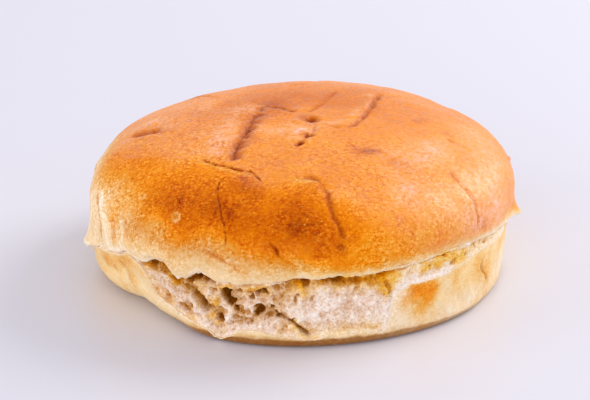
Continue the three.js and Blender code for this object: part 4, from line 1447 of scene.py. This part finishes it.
crust = crust_material("glazed_crust", CROWN_CREVICE_AND_SHADE, on_tray=False)
heel_crust = crust_material("pale_crust", HEEL_CREVICE_AND_SHADE, on_tray=True)
print("crust materials:", crust.name, heel_crust.name)

# %% [markdown]
# ## Crumb
#
# Fresh crumb is nearly white where a bubble wall catches the light, and warm yellow brown inside the
# holes, because the light there has bounced off more crumb. The depth of each point decides between
# the two. It has no gloss, and a little light passes through its thin walls.

# %% Crumb material
CRUMB_STOPS = [
    (0.0, seen(254, 242, 230)),
    (0.2, seen(238, 213, 190)),
    (0.4, seen(216, 177, 142)),
    (0.65, seen(186, 130, 62)),
    (0.95, seen(140, 78, 12)),
]
GOLD_STOPS = [
    (0.0, seen(255, 230, 168)),
    (0.2, seen(246, 198, 108)),
    (0.4, seen(236, 170, 58)),
    (0.65, seen(214, 132, 14)),
    (0.95, seen(170, 94, 2)),
]
DEEP_CREVICE = seen(110, 62, 16)
THIN_WALLS = {
    "Subsurface Weight": 0.12, "Subsurface Radius": (1.0, 0.6, 0.35), "Subsurface Scale": 1.0 * MM,
}


def crumb_material(name):
    board = Board(name)
    deep, dark, bright, gold = (board.layer(layer) for layer in ("deep", "dark", "bright", "gold"))
    fine = board.noise(0.7, 3, 0.6) - 0.5
    patch = board.noise(2.6, 2) - 0.5
    pores = 1 - board.cells(0.8).between(0.08, 0.4)
    pits = (1 - board.cells(1.3).between(0.1, 0.2)) * board.noise(3.0, 1).between(0.4, 0.6)
    tone = 0.14 - 0.12 * bright + deep * 0.9 + 0.7 * fine + (0.4 - 0.4 * bright) * patch
    tone = tone + 0.16 * pores + 0.3 * pits + 0.3 * gold * (1.2 - bright.most(0.0))
    tone = tone.clamped()
    base = board.mix(gold, board.ramp(tone, CRUMB_STOPS), board.ramp(tone, GOLD_STOPS))
    base = board.mix(dark * 0.85, base, DEEP_CREVICE)
    height = board.cells(0.6) + 0.5 * board.noise(0.35, 2)
    return board.dress({
        "Base Color": board.as_light(base),
        "Roughness": 0.85,
        "Normal": board.bump(height, strength=0.6, distance_mm=0.25),
        "Specular IOR Level": 0.05,
        **THIN_WALLS,
    })


open_crumb = crumb_material("open_crumb")
for piece, material in ((crown, crust), (heel, heel_crust), (crumb, open_crumb)):
    piece.data.materials.append(material)
print("crumb material:", open_crumb.name)

# %% [markdown]
# ## Settling the pieces in the frame
#
# The sizes above put the bun round a point that isn't quite the middle of its box, because its lip is
# ragged. The solid model stands with that middle on the origin, so all pieces move over by the same
# small amount until the two boxes share their middle across the ground, while the height stays.

# %% Centre on the frame
def corners_of(piece):
    """The lowest and the highest corner of a piece's own box."""
    places = np.empty(3 * len(piece.data.vertices), np.float32)
    piece.data.vertices.foreach_get("co", places)
    places = places.reshape(-1, 3).astype(float)
    return places.min(0), places.max(0)


lows, highs = zip(*(corners_of(piece) for piece in bun_pieces.values()))
bun_middle = (np.min(lows, axis=0) + np.max(highs, axis=0)) / 2
cad_middle = (np.array(cad_low) + np.array(cad_high)) / 2
shift = cad_middle - bun_middle
shift[2] = 0.0
for piece in bun_pieces.values():
    piece.data.transform(Matrix.Translation(shift))
    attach(piece, "root")
    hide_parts("teacake")
print("moved by", np.round(shift[:2] / MM, 2), "mm")

# %% [markdown]
# ## Camera
#
# A long lens from a little above keeps the bun nearly free of perspective, as in a studio picture of
# food. The camera aims slightly left of the middle and below it, which places the bun in the frame.

# %% Camera
ELEVATION = math.radians(21.5)
DISTANCE = 0.6
AIM_MM = (-1.25, -0.37, 17.07)
LENS = 146.1
SENSOR_WIDTH = 36.0
NEAREST = 0.01


def add_object(name, data, place, towards):
    """An object at a place, which looks towards another place."""
    thing = bpy.data.objects.new(name, data)
    thing.location = place
    thing.rotation_mode = "QUATERNION"
    thing.rotation_quaternion = (Vector(towards) - Vector(place)).to_track_quat("-Z", "Y")
    bpy.context.collection.objects.link(thing)
    return thing


camera_data = bpy.data.cameras.new("camera")
camera_data.lens = LENS
camera_data.sensor_width = SENSOR_WIDTH
camera_data.clip_start = NEAREST
aim = Vector(np.array(AIM_MM) * MM + shift)
away = Vector((0, -math.cos(ELEVATION), math.sin(ELEVATION)))
camera = add_object("camera", camera_data, aim + DISTANCE * away, aim)
bpy.context.scene.camera = camera
print("camera at", [round(v, 3) for v in camera.location])

# %% [markdown]
# ## Light and ground
#
# One large soft light stands to the right and behind, and lays a soft shadow to the left. Two wide
# weak lights, in front and on the left, and the pale surroundings fill the rest. The ground is plain
# and nearly white, with a dull shine.

# %% Light
LIGHT_AIM = (0, 0, 0.02)
LIGHTS = {
    # place, size and power, tint
    "key": ((0.78, 0.46, 0.62), 0.75, 7.6, (1.0, 0.99, 0.98)),
    "front_fill": ((-0.25, -1.15, 0.32), 0.8, 4.4, (1.0, 0.99, 1.0)),
    "left_fill": ((-1.05, -0.2, 0.26), 0.7, 2.6, (1.0, 0.99, 0.98)),
}
SURROUNDINGS = {"Color": (0.80, 0.78, 0.86, 1.0), "Strength": 0.91}

for name, (place, size, power, tint) in LIGHTS.items():
    data = bpy.data.lights.new(name, "AREA")
    data.shape = "DISK"
    data.size = size
    data.energy = power
    data.color = tint
    add_object(name, data, place, LIGHT_AIM)

world = bpy.data.worlds.new("surroundings")
world.use_nodes = True
for name, value in SURROUNDINGS.items():
    world.node_tree.nodes["Background"].inputs[name].default_value = value
bpy.context.scene.world = world
print("lights:", list(LIGHTS))

# %% Ground
GROUND_RADIUS = 4.0
GROUND_CORNERS = 96

bpy.ops.mesh.primitive_circle_add(vertices=GROUND_CORNERS, radius=GROUND_RADIUS, fill_type="NGON")
ground = bpy.context.object
ground.name = "ground"
ground.data.materials.append(Board("ground_paint").dress({
    "Base Color": (0.725, 0.725, 0.775, 1.0),
    "Roughness": 0.35,
    "Specular IOR Level": 0.45,
}))
bpy.context.scene.view_settings.view_transform = "Standard"
print("the ground is", 2 * GROUND_RADIUS, "m across")
